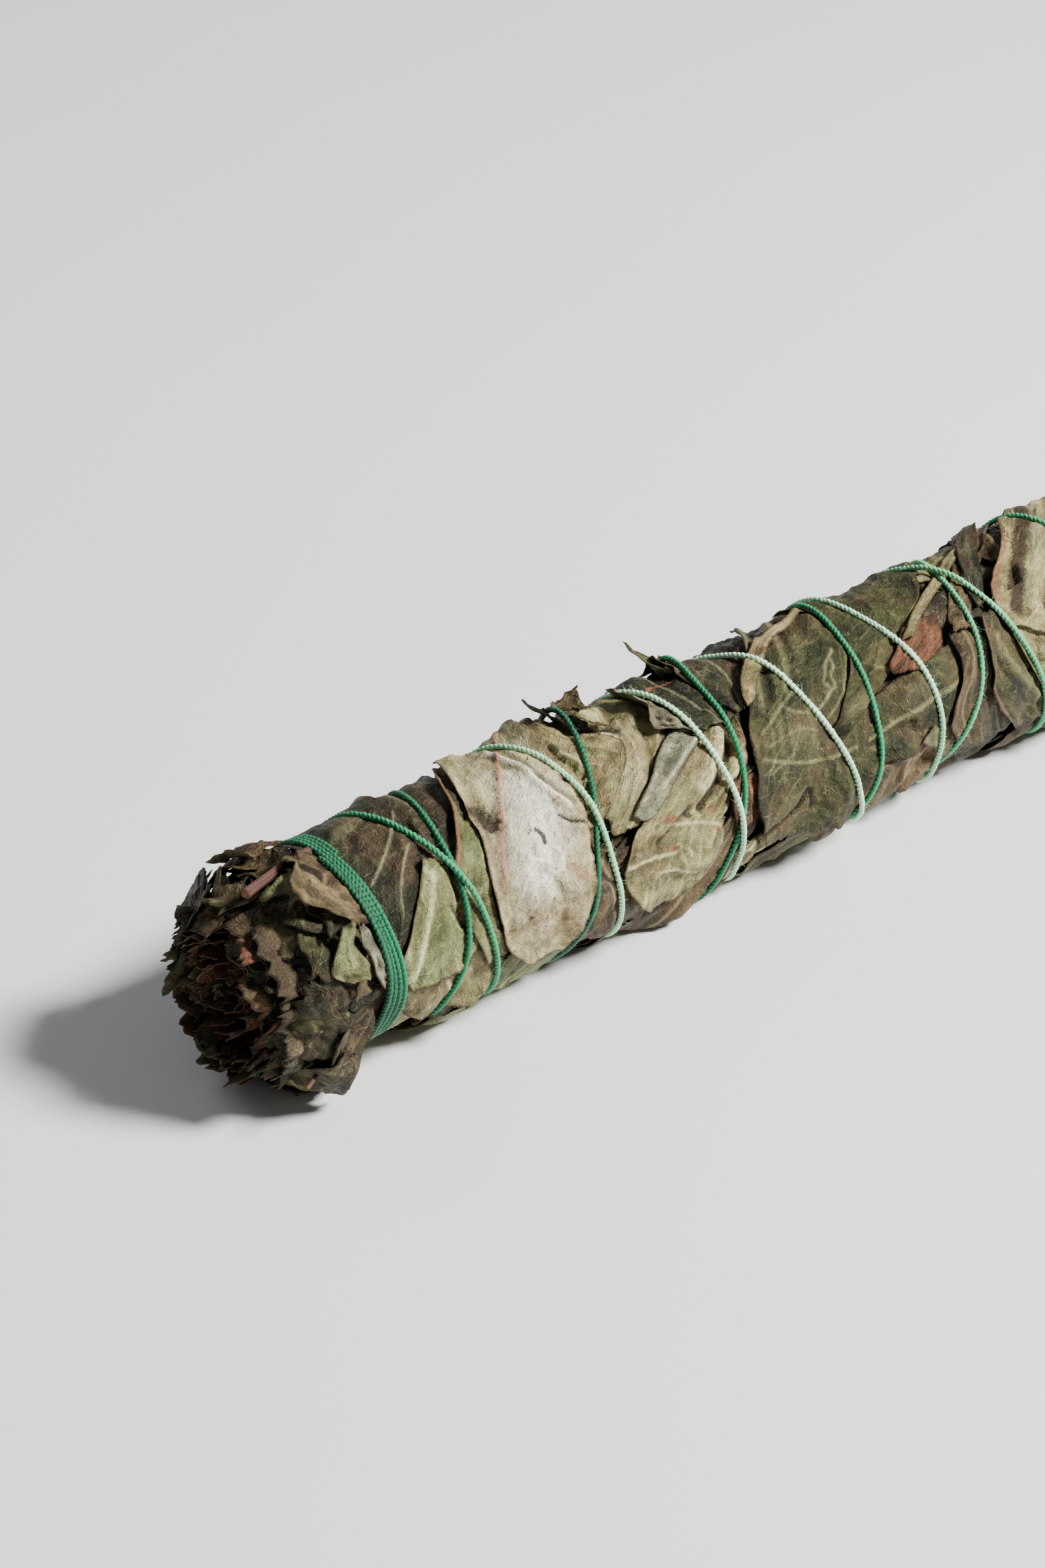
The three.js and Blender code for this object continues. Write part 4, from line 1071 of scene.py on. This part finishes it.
    leaf("olive", [(8, -42), (9, -12), (9, 12), (6, 30), (1, 46), (-4, 61)],
         [(40, -42), (32, -6), (25, 17), (18, 33), (10, 47), (-2, 64)],
         ("pale", 0.4, 1.2, 0.0, [(1, 53), (5, 51)]),
         ("pale", 0.5, 0.3, 0.1, [(10, 36), (13, 42), (15, 46)]),
         node="leaf_olive_second", floor=16.1, midrib=0.3, curl=(0.2, 0.35), ragged=(0.04, 0.06)),
    leaf("rust", [(19, 24), (15.5, 33), (12, 40), (12, 46)], [(27, 24), (26, 33), (24, 41), (16, 49)],
         floor=16.2, midrib=0.0, curl=(0.2, 0.2)),
    # To the right.
    leaf("dark", [(27, 36), (26, 60), (27, 84), (30, 112)], [(37, 36), (37, 60), (38, 84), (41, 112)],
         floor=14.6),
    leaf("brown", [(26, 38), (24.5, 56), (20.5, 74), (22, 90), (26, 110)],
         [(31, 38), (30, 54), (27.6, 70), (28, 87), (31, 110)],
         ("rust", 0.6, 0.5, 0.2, [(25, 50), (22, 70), (21.4, 78)]),
         floor=15.5, pleat=0.3, curl=(0.3, 0.5)),
    leaf("green", [(12, 81), (15, 88), (18, 95), (20, 108)], [(16, 77), (18.4, 84), (20.4, 93), (22.4, 107)],
         floor=15.9, midrib=0.0, curl=(0.3, 0.3)),
    leaf("brown", [(52, -45), (42, -12), (36, 6), (31, 20), (26, 40)],
         [(62, -45), (50, -12), (43, 6), (37, 20), (30, 42)],
         node="leaf_grooved_1", floor=15.8, fold=0.5, midrib=0.0, pleat=0.35, curl=(0.4, 0.4)),
    leaf("tan", [(17, 31), (21, 22), (26, 13), (31, 5), (36, -3), (42, -14), (50, -28)],
         [(18.6, 33), (23, 24.5), (28, 16.5), (33, 9), (38, 1), (44, -9), (53, -24)],
         floor=16.3, midrib=0.0, curl=(0.2, 0.2), ends=(0.1, 0.1)),
    leaf("olive", [(33, 36), (31.4, 52), (31, 68), (31.6, 82), (34.4, 96), (40, 116)],
         [(39, 34), (40, 52), (41, 68), (43, 82), (46, 97), (50, 116)],
         ("pale", 0.55, 0.8, 0.3, [(35, 50), (38, 72), (43, 96)]),
         ("rust", 0.5, 0.6, 0.2, [(33, 38), (31.6, 54), (31.4, 68), (32.2, 82), (35, 96)]),
         ("pale", 0.5, 1.2, 0.0, [(40, 78), (43, 88), (46, 98)]),
         ("dark", 0.5, 0.7, -0.4, [(34, 54), (36, 74), (40, 96)]),
         node="leaf_pale_right", floor=15.9, fold=0.3, fold_at=0.5, midrib=0.0, curl=(0.6, 0.3)),
    leaf("tan", [(38, 32), (38.6, 50), (40, 68), (42.6, 84), (46, 100), (50, 118)],
         [(46, 30), (47, 50), (49, 68), (51, 84), (54, 100), (58, 118)],
         floor=16.0, fold=0.3, midrib=0.0, curl=(0.5, 0.3)),
    leaf("dark", [(48, -30), (40, -2), (36, 16), (33, 34)], [(54, -30), (45, -2), (41, 14), (37, 31)],
         floor=16.0, fold=0.4, midrib=0.0, curl=(0.5, 0.5)),
    leaf("tan", [(60, -34), (49, 2), (42, 18), (38, 32), (39, 48)],
         [(78, -34), (66, 2), (60, 26), (54, 46), (46, 62)],
         ("rust", 0.6, 1.4, 0.3, [(61, -36), (55, -18), (49.6, 2), (43, 17), (39, 32)]),
         # Pleats: dark paint in the valleys and pale paint on the ridge, as painted shade and painted
         # highlight.
         ("dark", 0.8, 1.6, -0.9, [(66, -36), (60, -14), (52, 8), (46, 26), (42, 40)]),
         ("pale", 0.3, 1.4, 0.6, [(69, -36), (63, -12), (56, 8), (50, 28), (45, 44)]),
         ("dark", 0.6, 1.3, -0.6, [(73, -36), (66, -8), (60, 12), (54, 30), (48, 48)]),
         ("dark", 0.4, 2.4, 0.0, [(64, -36), (57, -16), (50, 4)]),
         floor=16.2, midrib=0.0, pleat=0.35, curl=(0.6, 0.4)),
]


def filler_leaves(count, seed):
    """Narrow leaves that fill the bundle out under the broad ones."""
    draw = np.random.RandomState(seed)
    kinds = ["dark", "brown", "olive", "dark", "tan"]
    specs = []
    for number in range(count):
        specs.append(dict(
            kind=kinds[number % len(kinds)], floor=0,
            x=draw.uniform(-92, 92), around=draw.uniform(0, 360), length=draw.uniform(26, 44),
            width=draw.uniform(6, 13), turn=draw.uniform(-66, -24), fold=draw.uniform(0, 0.6),
            fold_at=draw.uniform(-0.5, 0.5), curl=(draw.uniform(0.2, 0.8), draw.uniform(0.2, 0.8)),
            ragged=(draw.uniform(0.05, 0.2), draw.uniform(0.05, 0.2)),
        ))
    return specs


END_PIECES = [
    # The torn pale piece beside the band, and the folded pieces below it.
    leaf("brown", [(-100, -6), (-101, 6), (-104, 22), (-102, 34), (-98, 44)],
         [(-94, -8), (-93.4, 8), (-93.2, 22), (-93.6, 34), (-94, 46)],
         # Painted shade in the hole under the torn flap.
         ("dark", 1.0, 1.3, -1.2, [(-98.6, 8), (-97.4, 13)]),
         ("pale", 0.7, 2.4, 0.0, [(-98.6, 20), (-97, 32)]),
         floor=16.2, midrib=0.0, crumple=0.5, curl=(0.9, 0.2), ragged=(0.5, 0.05)),
    leaf("green", [(-100.6, 42), (-102, 50), (-104.4, 60), (-101, 68)],
         [(-98.6, 42), (-98.2, 50), (-98, 60), (-98.4, 68)],
         floor=16.4, midrib=0.0, crumple=0.5, curl=(0.9, 0.4), ragged=(0.3, 0.3)),
    leaf("grey", [(-97.6, 44), (-97, 56), (-96.4, 68), (-95, 80)],
         [(-95.4, 44), (-94.4, 56), (-93.6, 68), (-93.4, 80)],
         floor=16.2, midrib=0.0, crumple=0.5, curl=(0.8, 0.6), ragged=(0.2, 0.2)),
    leaf("brown", [(-106, -38), (-105.6, -26), (-103, -14)], [(-98, -38), (-97, -26), (-96.4, -14)],
         floor=16.8, midrib=0.0, crumple=0.6, curl=(1.4, 0.5), ragged=(0.3, 0.2)),
]


def end_flakes(side, count, seed):
    """Crumpled leaf pieces round an end of the bundle, beyond the thread."""
    draw = np.random.RandomState(seed)
    kinds = "dark olive dark brown dark olive dark green dark olive dark brown".split()
    specs = []
    for number in range(count):
        centre = side * draw.uniform(98.0, 110.0)
        around = number * 360 * 0.382 + draw.uniform(-12, 12)
        stations = np.linspace(-0.5, 0.5, 4) * draw.uniform(18, 54)
        lean = draw.uniform(-0.16, 0.16)
        edges = []
        for sign in (-1, 1):
            half = sign * draw.uniform(1.6, 5.2, 4)
            reach = np.maximum(side * (centre + half + lean * stations), 95.8) * side
            edges.append(np.stack([reach, around + stations], -1))
        specs.append(dict(
            kind=kinds[number % len(kinds)], edges=edges, floor=draw.uniform(14.0, 15.8),
            crumple=draw.uniform(0.2, 0.6), midrib=draw.uniform(0, 0.4), torn=2.2, stiff=9,
            ragged=(draw.uniform(0.25, 0.6), draw.uniform(0.25, 0.6)), fold=draw.uniform(-0.5, 0.6),
            curl=(draw.uniform(0.0, 0.9), draw.uniform(0.0, 0.9)),
            ends=(draw.uniform(0, 0.5), draw.uniform(0, 0.6)),
        ))
    return specs


def starting_surface():
    """The uneven packed core that the first leaves lie on."""
    x, around = grid_places()
    angle = np.radians(around)
    lumps = lattice_noise(x / 24, 2 * np.cos(angle) + 5, 3) + lattice_noise(x / 17, 2 * np.sin(angle) + 5, 4)
    return CORE_RADIUS + 0.3 * lumps - dome(x)


surface = starting_surface()
laid = []
LAYERS = (
    ("inner", DEEP_LEAVES + filler_leaves(44, 7), HIDDEN_STEP),
    ("under", UNDER_LEAVES, COARSE_STEP),
    ("outer", SIDE_LEAVES + BACK_LEAVES + RIGHT_LEAVES, COARSE_STEP),
    ("top", SHOWN_LEAVES, FINE_STEP),
    ("end_left", end_flakes(-1, 56, 21) + END_PIECES, FLAKE_STEP),
    ("end_right", end_flakes(1, 44, 22), FLAKE_STEP),
)
for layer, specs, leaf_step in LAYERS:
    for leaf_spec in specs:
        laid.append((layer, lay_leaf(surface, leaf_spec, len(laid), leaf_step)))


# ---- The thread presses into the leaves ----

# How deep the thread presses the leaves in, and how far its centre line stays above them.
PRESS = 0.85
REST_ON = 0.36


def path_radius(path, span, step):
    """Angles, places and radii of a thread that rests on the leaves along its way."""
    around = np.arange(span[0], span[1] + step / 2, step)
    x = path(around)
    under = sample(blurred(grown(surface, 1), 5), x, around)
    window = max(3, int(60 / step))
    kernel = np.hanning(window + 2)[1:-1]
    kernel /= kernel.sum()
    padded = np.pad(under, window, mode="edge")
    smooth = np.convolve(padded, kernel, "same")[window:-window]
    return around, x, smooth - PRESS + REST_ON


def sink_field():
    """How far the thread presses the leaves in, over the unrolled surface."""
    x = grid_places()[0]
    ceiling = np.full(x.shape, 99.0)
    for path, span in THREADS.values():
        angles, places, radii = path_radius(path, span, CELL_DEGREES)
        for angle, place, radius in zip(angles, places, radii):
            j = int(round(angle / CELL_DEGREES)) % ROUND_CELLS
            distance = np.abs(x[:, j] - place)
            ceiling[:, j] = np.minimum(ceiling[:, j], radius - REST_ON + (distance / 2.0) ** 1.6)
    return blurred(np.maximum(surface - ceiling, 0), 1)


sink = sink_field()

merged = {}
for number, (layer, laid_leaf) in enumerate(laid):
    spec = laid_leaf["spec"]
    parts = leaf_arrays(laid_leaf, sink)
    if "node" in spec:
        finish_leaf(spec["node"].replace("leaf_", "sage_leaf_"), [parts], spec["kind"], [spec["node"]])
    elif layer in ("outer", "top"):
        finish_leaf("sage_leaf_%s_%d" % (layer, number), [parts], spec["kind"])
    else:
        merged.setdefault((layer, spec["kind"]), []).append(parts)
for (layer, kind), parts in merged.items():
    finish_leaf("%s_leaves_%s" % (layer, kind), parts, kind)


# ---- The cut leaf edges at both ends, seen end on ----

SHARD_STEP = 0.5
SHARD_THICKNESS = 0.22
SHARD_PITCH = 0.85
SHARD_REACH = 14.4


def shard(side, radius, around, arc, depth, tip, seed, flare):
    """A leaf piece rolled round the bundle's axis, with its torn edge at the bundle's end."""
    rows = max(6, int(depth / SHARD_STEP))
    columns = max(5, int(arc / SHARD_STEP))
    u, v = np.meshgrid(np.linspace(0, 1, rows + 1), np.linspace(-1, 1, columns + 1), indexing="ij")
    s = v * arc / 2
    jag = 2.3 * layered_noise(s / 1.5, np.full_like(s, seed * 0.3), seed, 2)
    jag = jag + 1.0 * lattice_noise(s / 0.6, np.full_like(s, seed * 0.5), seed + 1)
    narrowing = 1 - 0.35 * np.clip(lattice_noise(u * 2, np.full_like(u, seed * 0.2), seed + 2), -0.4, 1) * u
    x = side * (tip - depth * (1 - u) + jag * u ** 2)
    waves = 1.7 * layered_noise(s / 3.0, u * depth / 6, seed + 3, 2)
    waves = waves + 0.35 * lattice_noise(s / 0.9, u * 5, seed + 4)
    r = radius + waves * (0.4 + 0.6 * u) + flare * u ** 2
    r = np.abs(r) + 0.25
    angle = around + np.degrees(s * narrowing / max(radius, 2.2))
    outer = to_world(x, angle, r + SHARD_THICKNESS)
    inner = to_world(x, angle, r)
    edge = np.minimum((1 - np.abs(v)) * arc / 2, (1 - u) * depth)
    bare = np.zeros_like(u)
    faces = sheet_faces(rows, columns)
    if side < 0:
        faces = faces[:, ::-1]
    # The last mark paints shade where the shard's waves dip and light where they rise.
    marks = (bare, edge, np.clip(-waves, -1, 1))
    return both_faces(outer, inner), faces, leaf_attributes(u * depth, s, marks, (bare, bare, bare), seed)


def end_shards(side, seed):
    """Shards by kind of leaf: reddish in the middle, darker towards the rim."""
    draw = np.random.RandomState(seed)
    shards = {}
    radius = 0.9
    number = 0
    while radius < SHARD_REACH:
        arc_left = 2 * math.pi * radius
        around = draw.uniform(0, 360)
        while arc_left > 0:
            arc = min(draw.uniform(3.0, 8.5), 4 + radius * 1.2)
            share = radius / SHARD_REACH
            if draw.uniform() > 0.1 + 0.8 * share:
                kind = "rust"
            else:
                kind = ["brown", "dark", "dark", "olive"][draw.randint(4)]
            tip = 110.2 + 1.6 * share ** 2 - 10.0 * max(share - 0.8, 0) + draw.uniform(-3.4, 2.4)
            flare = draw.uniform(-1.6, 1.6) * share
            shards.setdefault(kind, []).append(shard(
                side, radius, around + draw.uniform(-6, 6), arc * 1.25, draw.uniform(7, 10.5),
                tip, 900 + 40 * seed + number, flare))
            around += math.degrees(arc / radius)
            arc_left -= arc
            number += 1
        radius += SHARD_PITCH
    return shards


for end_side, side_name in ((-1, "left"), (1, "right")):
    end_nodes = ["leaf_end_%s_%d" % (side_name, number) for number in range(1, 5)]
    for kind, parts in end_shards(end_side, 5 + end_side).items():
        finish_leaf("end_%s_%s" % (side_name, kind), parts, kind, end_nodes if kind == "brown" else ())


def core():
    """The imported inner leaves, seen only through gaps."""
    x = np.linspace(-104, 104, 300)
    around = np.linspace(0, 360, 91)[:-1]
    grid_x, grid_around = np.meshgrid(x, around, indexing="ij")
    angle = np.radians(grid_around)
    ripple = 0.5 * lattice_noise(grid_x / 6, 3 * np.cos(angle) + 7, 91)
    ripple = ripple + 0.5 * lattice_noise(grid_x / 5, 3 * np.sin(angle) + 7, 92)
    radius = CORE_RADIUS - 0.8 + ripple - dome(grid_x)
    vertices = to_world(grid_x, grid_around, radius).reshape(-1, 3)
    centres = to_world(np.array([-102.0, 102.0]), np.zeros(2), np.zeros(2))
    places = np.stack([grid_x, np.radians(grid_around) * ROUND_RADIUS, np.zeros_like(grid_x)], -1)
    points = np.concatenate([vertices, centres])
    bare = np.zeros((len(points), 3))
    finish_piece("packed_leaves", [(points, tube_faces(*grid_x.shape), {
        "leaf_place": np.concatenate([places.reshape(-1, 3), bare[:2]]),
        # Its third mark, 0.3, paints the whole core a little darker, as painted shade.
        "leaf_marks": bare + np.array([0.0, 5.0, 0.3]), "leaf_paint": bare, "leaf_side": bare,
    })], LEAF_MATERIALS["brown"], ["packed_inner_leaves"])


core()


# ---- Tubes: thread, stems and twigs ----

TWIG_SIDES = 14
STEM_STATIONS = 120
STEM_SWAY = 0.8


def unit(vectors):
    """The vectors at length 1."""
    return vectors / (np.linalg.norm(vectors, axis=-1, keepdims=True) + 1e-12)


def travelled_along(points):
    """Millimetres from the first point along points in metres."""
    return np.concatenate([[0], np.cumsum(np.linalg.norm(np.diff(points, axis=0), axis=1))]) / MM


def tube_part(points, radius, sides, attribute, marks):
    """A closed round tube along points in metres, as triangles."""
    count = len(points)
    radius = np.broadcast_to(np.asarray(radius, float), (count,))
    along = unit(np.gradient(points, axis=0))
    side = unit(np.cross(along, np.array([0.31, 0.87, 0.39])))
    up = np.cross(side, along)
    angle = np.linspace(0, 2 * np.pi, sides, endpoint=False)
    ring = side[:, None] * np.cos(angle)[None, :, None] + up[:, None] * np.sin(angle)[None, :, None]
    vertices = points[:, None] + ring * radius[:, None, None]
    values = np.concatenate([np.repeat(marks, sides, axis=0), marks[:1], marks[-1:]])
    vertices = np.concatenate([vertices.reshape(-1, 3), [points[0], points[-1]]])
    return vertices, tube_faces(count, sides), {attribute: values}


def twig_part(points, radius, seed):
    """A stem with a knotty surface and cut ends; points in metres, radius in millimetres."""
    count = len(points)
    sides = TWIG_SIDES
    travelled = travelled_along(points)
    uneven = 1 + 0.12 * lattice_noise(travelled / 3, np.full(count, seed * 0.7), seed)
    uneven = uneven + 0.1 * np.exp(-((travelled % 23 - 11) / 1.2) ** 2)
    marks = np.stack([travelled, np.zeros(count), np.zeros(count)], 1)
    vertices, faces, attributes = tube_part(points, radius * MM * uneven, sides, "stem_place", marks)
    values = attributes["stem_place"]
    ring = np.tile(np.arange(sides), count)
    thick = np.repeat(np.broadcast_to(radius, (count,)), sides)
    values[:count * sides, 1] = ring * 2 * math.pi * thick / sides
    values[-2:, 2] = 1.0
    centre = np.repeat(points, sides, axis=0)
    ridges = 1 + 0.07 * np.sin(ring * 2 * math.pi * 4 / sides + seed)
    vertices[:count * sides] = centre + (vertices[:count * sides] - centre) * ridges[:, None]
    return vertices, faces, attributes


def inner_stems():
    """The seven stems through the bundle, bent a little off the axis of their nodes."""
    for number in range(1, 8):
        node = "stem_%d" % number
        low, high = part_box(node)
        length = np.linspace(low[0] + 4.5 * MM, high[0] - 2 * MM, STEM_STATIONS)
        own = np.full(STEM_STATIONS, number * 1.0)
        y, z = ((low[k] + high[k]) / 2 + STEM_SWAY * MM * lattice_noise(length / 0.03, own, 59 + k)
                for k in (1, 2))
        thick = (high[2] - low[2]) / 2 / MM * np.linspace(1.0, 0.65, STEM_STATIONS)
        twig = twig_part(np.stack([length, y, z], 1), thick, number)
        finish_piece("sage_" + node, [twig], STEM_MATERIAL, [node])


def loose_twigs():
    """Broken stems at the cut end; the first lies on the outside of the bundle."""
    draw = np.random.RandomState(31)
    outside = to_world(np.linspace(-108.5, -92, 40), np.linspace(7, -12, 40), np.linspace(17.8, 15.6, 40))
    parts = [twig_part(outside, 0.8, 3)]
    for number in range(16):
        around = draw.uniform(60, 300) if number < 6 else draw.uniform(0, 360)
        radius = draw.uniform(2, 14)
        start = to_world(-100.0, around, radius)
        tip = to_world(-draw.uniform(107.5, 109.8), around + draw.uniform(-25, 25),
                       radius + draw.uniform(-0.5, 2.0))
        parts.append(twig_part(start + (tip - start) * np.linspace(0, 1, 24)[:, None],
                               draw.uniform(0.3, 0.75), 70 + number))
    thin = to_world(np.linspace(-103, -109.8, 24), np.linspace(128, 112, 24), np.linspace(15, 18.6, 24))
    parts.append(twig_part(thin, 0.32, 99))
    finish_piece("broken_stems", parts, STEM_MATERIAL)


inner_stems()
loose_twigs()


# ---- Thread ----

PLY_RADIUS = 0.35
PLY_OFFSET = 0.16
PLY_PITCH = 1.7
PLY_SIDES = 7
CROSS_LIFT = 0.85
THREAD_REST = 0.45
THREAD_STEP = 0.85
FIBRES_PER_MM = 1.3
FIBRE_RADIUS = 0.018
KNOT_SIZE = 0.62
KNOT_ANGLE = 222


def crossing_lift(x, around):
    """How far the outward spiral rises where it crosses the returning one."""
    returning_x, reach = THREADS["thread_returning"]
    nearest = np.full(np.shape(x), 99.0)
    for turn in range(-1, 9):
        angle = np.mod(around, 360) + 360 * turn
        inside = (angle >= reach[0]) & (angle <= reach[1])
        away = np.abs(returning_x(np.clip(angle, *reach)) - x)
        nearest = np.where(inside, np.minimum(nearest, away), nearest)
    return CROSS_LIFT * (1 - smoothstep(0.7, 5.0, nearest))


# The thread's shade from emerald (0) to mint (1), by its place along the bundle.
SHADES = {
    "thread_outward": [(-95, 0.35), (-80, 0.42), (-66, 0.55), (-52, 0.9), (-28, 0.96), (-8, 1.0), (15, 0.94),
                       (34, 0.76), (60, 0.5), (95, 0.3)],
    "thread_returning": [(-95, 0.4), (-76, 0.16), (-60, 0.1), (-45, 0.08), (-32, 0.16), (-19, 0.32),
                         (9, 0.38), (26, 0.6), (36, 0.72), (60, 0.55), (95, 0.35)],
    "thread_band_left": [(-97, 0.0), (-92, 0.12), (-90, 0.2)],
    "thread_band_right": [(90, 0.3), (96, 0.6)],
}


def thread_parts(centre, outward, shade, seed):
    """Two twisted plies and their loose fibres along centre points in metres."""
    travelled = travelled_along(centre)
    tangent = unit(np.gradient(centre, axis=0))
    side = np.cross(tangent, outward)
    parts = []
    for ply in (0, 1):
        angle = 2 * np.pi * travelled / PLY_PITCH + ply * np.pi
        offset = (np.cos(angle)[:, None] * outward + np.sin(angle)[:, None] * side) * PLY_OFFSET * MM
        uneven = 1 + 0.1 * lattice_noise(travelled / 1.7, np.full_like(travelled, ply * 3.0), 50 + ply)
        marks = np.stack([shade, travelled, np.full_like(shade, float(ply))], 1)
        parts.append(tube_part(centre + offset, PLY_RADIUS * MM * uneven, PLY_SIDES, "thread_marks", marks))
    draw = np.random.RandomState(seed)
    for _ in range(int(travelled[-1] * FIBRES_PER_MM)):
        i = draw.randint(2, len(centre) - 2)
        direction = (outward[i] * draw.uniform(-0.2, 1.0) + side[i] * draw.uniform(-1, 1)
                     + tangent[i] * draw.uniform(-1.2, 1.2))
        direction /= np.linalg.norm(direction)
        sway = np.cross(direction, tangent[i]) * draw.uniform(-0.6, 0.6)
        sway = sway + tangent[i] * draw.uniform(-0.5, 0.5)
        t = np.linspace(0, 1, 5)[:, None]
        start = centre[i] + direction * 0.4 * MM
        points = start + (direction * t + sway * t * t) * draw.uniform(0.4, 1.5) * MM
        marks = np.tile([shade[i] + 0.1, travelled[i], 2.0], (5, 1))
        width = FIBRE_RADIUS * MM * np.array([1, 0.9, 0.8, 0.6, 0.3])
        parts.append(tube_part(points, width, 3, "thread_marks", marks))
    return parts


def finish_thread(name, parts):
    finish_piece(name.replace("thread", "cotton"), parts, THREAD_MATERIAL, [name])


def thread_piece(name, seed):
    """One spiral or band, laid along its way over the pressed leaves."""
    path, span = THREADS[name]
    around, x, radius = path_radius(path, span, THREAD_STEP)
    if name == "thread_outward":
        radius = radius + crossing_lift(x, around)
    centre = to_world(x, around, radius, THREAD_REST)
    outward = to_world(x, around, radius + 1, THREAD_REST) - centre
    outward += np.stack([x * 0, -np.sin(np.radians(around)), np.cos(np.radians(around))], 1) * 1e-6
    outward /= np.linalg.norm(outward, axis=1)[:, None]
    keys = np.array(SHADES[name])
    finish_thread(name, thread_parts(centre, outward, np.interp(x, keys[:, 0], keys[:, 1]), seed))


def knot_piece():
    """A small overhand knot with two short tails."""
    low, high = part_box("thread_knot")
    middle = (np.array(low) + np.array(high)) / 2
    t = np.linspace(0, 2 * math.pi, 150)
    loop = np.stack([
        KNOT_SIZE * (np.sin(t) + 2 * np.sin(2 * t)) * 0.55,
        KNOT_SIZE * (np.cos(t) - 2 * np.cos(2 * t)) * 0.45,
        -0.5 * np.sin(3 * t),
    ], 1)
    tail = np.linspace(0, 1, 30)[:, None]
    first = loop[0] + tail[::-1] * np.array([-2.2, -2.6, 0.4])
    last = loop[-1] + tail * np.array([-3.2, 1.2, 0.2])
    line = np.concatenate([first, loop[1:-1], last]) * MM
    angle = math.radians(KNOT_ANGLE)
    side = np.array([0, -math.cos(angle), -math.sin(angle)])
    out = np.array([0, -math.sin(angle), math.cos(angle)])
    points = middle + line[:, :1] * np.array([1, 0, 0]) + line[:, 1:2] * side + line[:, 2:] * out
    outward = np.tile(out, (len(points), 1))
    finish_thread("thread_knot", thread_parts(points, outward, np.full(len(points), 0.4), 9))


for thread_number, thread_name in enumerate(THREADS):
    thread_piece(thread_name, thread_number)
knot_piece()


# ---- Stage, in metres but for the camera's place ----

FLOOR_REACH = 4.0
CAMERA_PLACE = (-345.9, -328.2, 296.1 + AXIS_HEIGHT)
CAMERA_RIGHT = (0.7552, -0.6553, 0.0161)
CAMERA_FORWARD = (0.5572, 0.6288, -0.5424)
LIGHT_TARGET = (0, 0, 0.01)
SKY_STRENGTH = 0.14


def add_floor():
    mesh = bpy.data.meshes.new("floor")
    corners = [(x * FLOOR_REACH, y * FLOOR_REACH, 0) for x, y in ((-1, -1), (1, -1), (1, 1), (-1, 1))]
    mesh.from_pydata(corners, [], [(0, 1, 2, 3)])
    mesh.materials.append(floor_material())
    in_scene("floor", mesh)


def add_camera():
    data = bpy.data.cameras.new("camera")
    data.lens = 80
    data.sensor_width = 36
    data.sensor_fit = "AUTO"
    data.clip_end = 20
    camera = in_scene("camera", data)
    right = Vector(CAMERA_RIGHT).normalized()
    forward = Vector(CAMERA_FORWARD).normalized()
    up = right.cross(forward).normalized()
    turned = Matrix((right, up, -forward)).transposed().to_4x4()
    camera.matrix_world = Matrix.Translation(Vector(CAMERA_PLACE) * MM) @ turned
    bpy.context.scene.camera = camera


def add_light(name, place, size, power, colour):
    data = bpy.data.lights.new(name, "AREA")
    data.shape = "DISK"
    data.size = size
    data.energy = power
    data.color = colour
    light = in_scene(name, data)
    light.location = place
    light.rotation_euler = (Vector(LIGHT_TARGET) - Vector(place)).to_track_quat("-Z", "Y").to_euler()


def add_world():
    world = bpy.data.worlds.new("soft_sky")
    world.use_nodes = True
    background = world.node_tree.nodes["Background"]
    background.inputs["Color"].default_value = (0.96, 0.98, 1.0, 1)
    background.inputs["Strength"].default_value = SKY_STRENGTH
    bpy.context.scene.world = world


add_floor()
add_camera()
add_light("window", (0.52, -0.66, 0.88), 0.32, 50, (1.0, 0.982, 0.94))
add_light("fill", (-0.2, 1.1, 0.9), 1.0, 4, (0.97, 0.98, 1.0))
add_world()
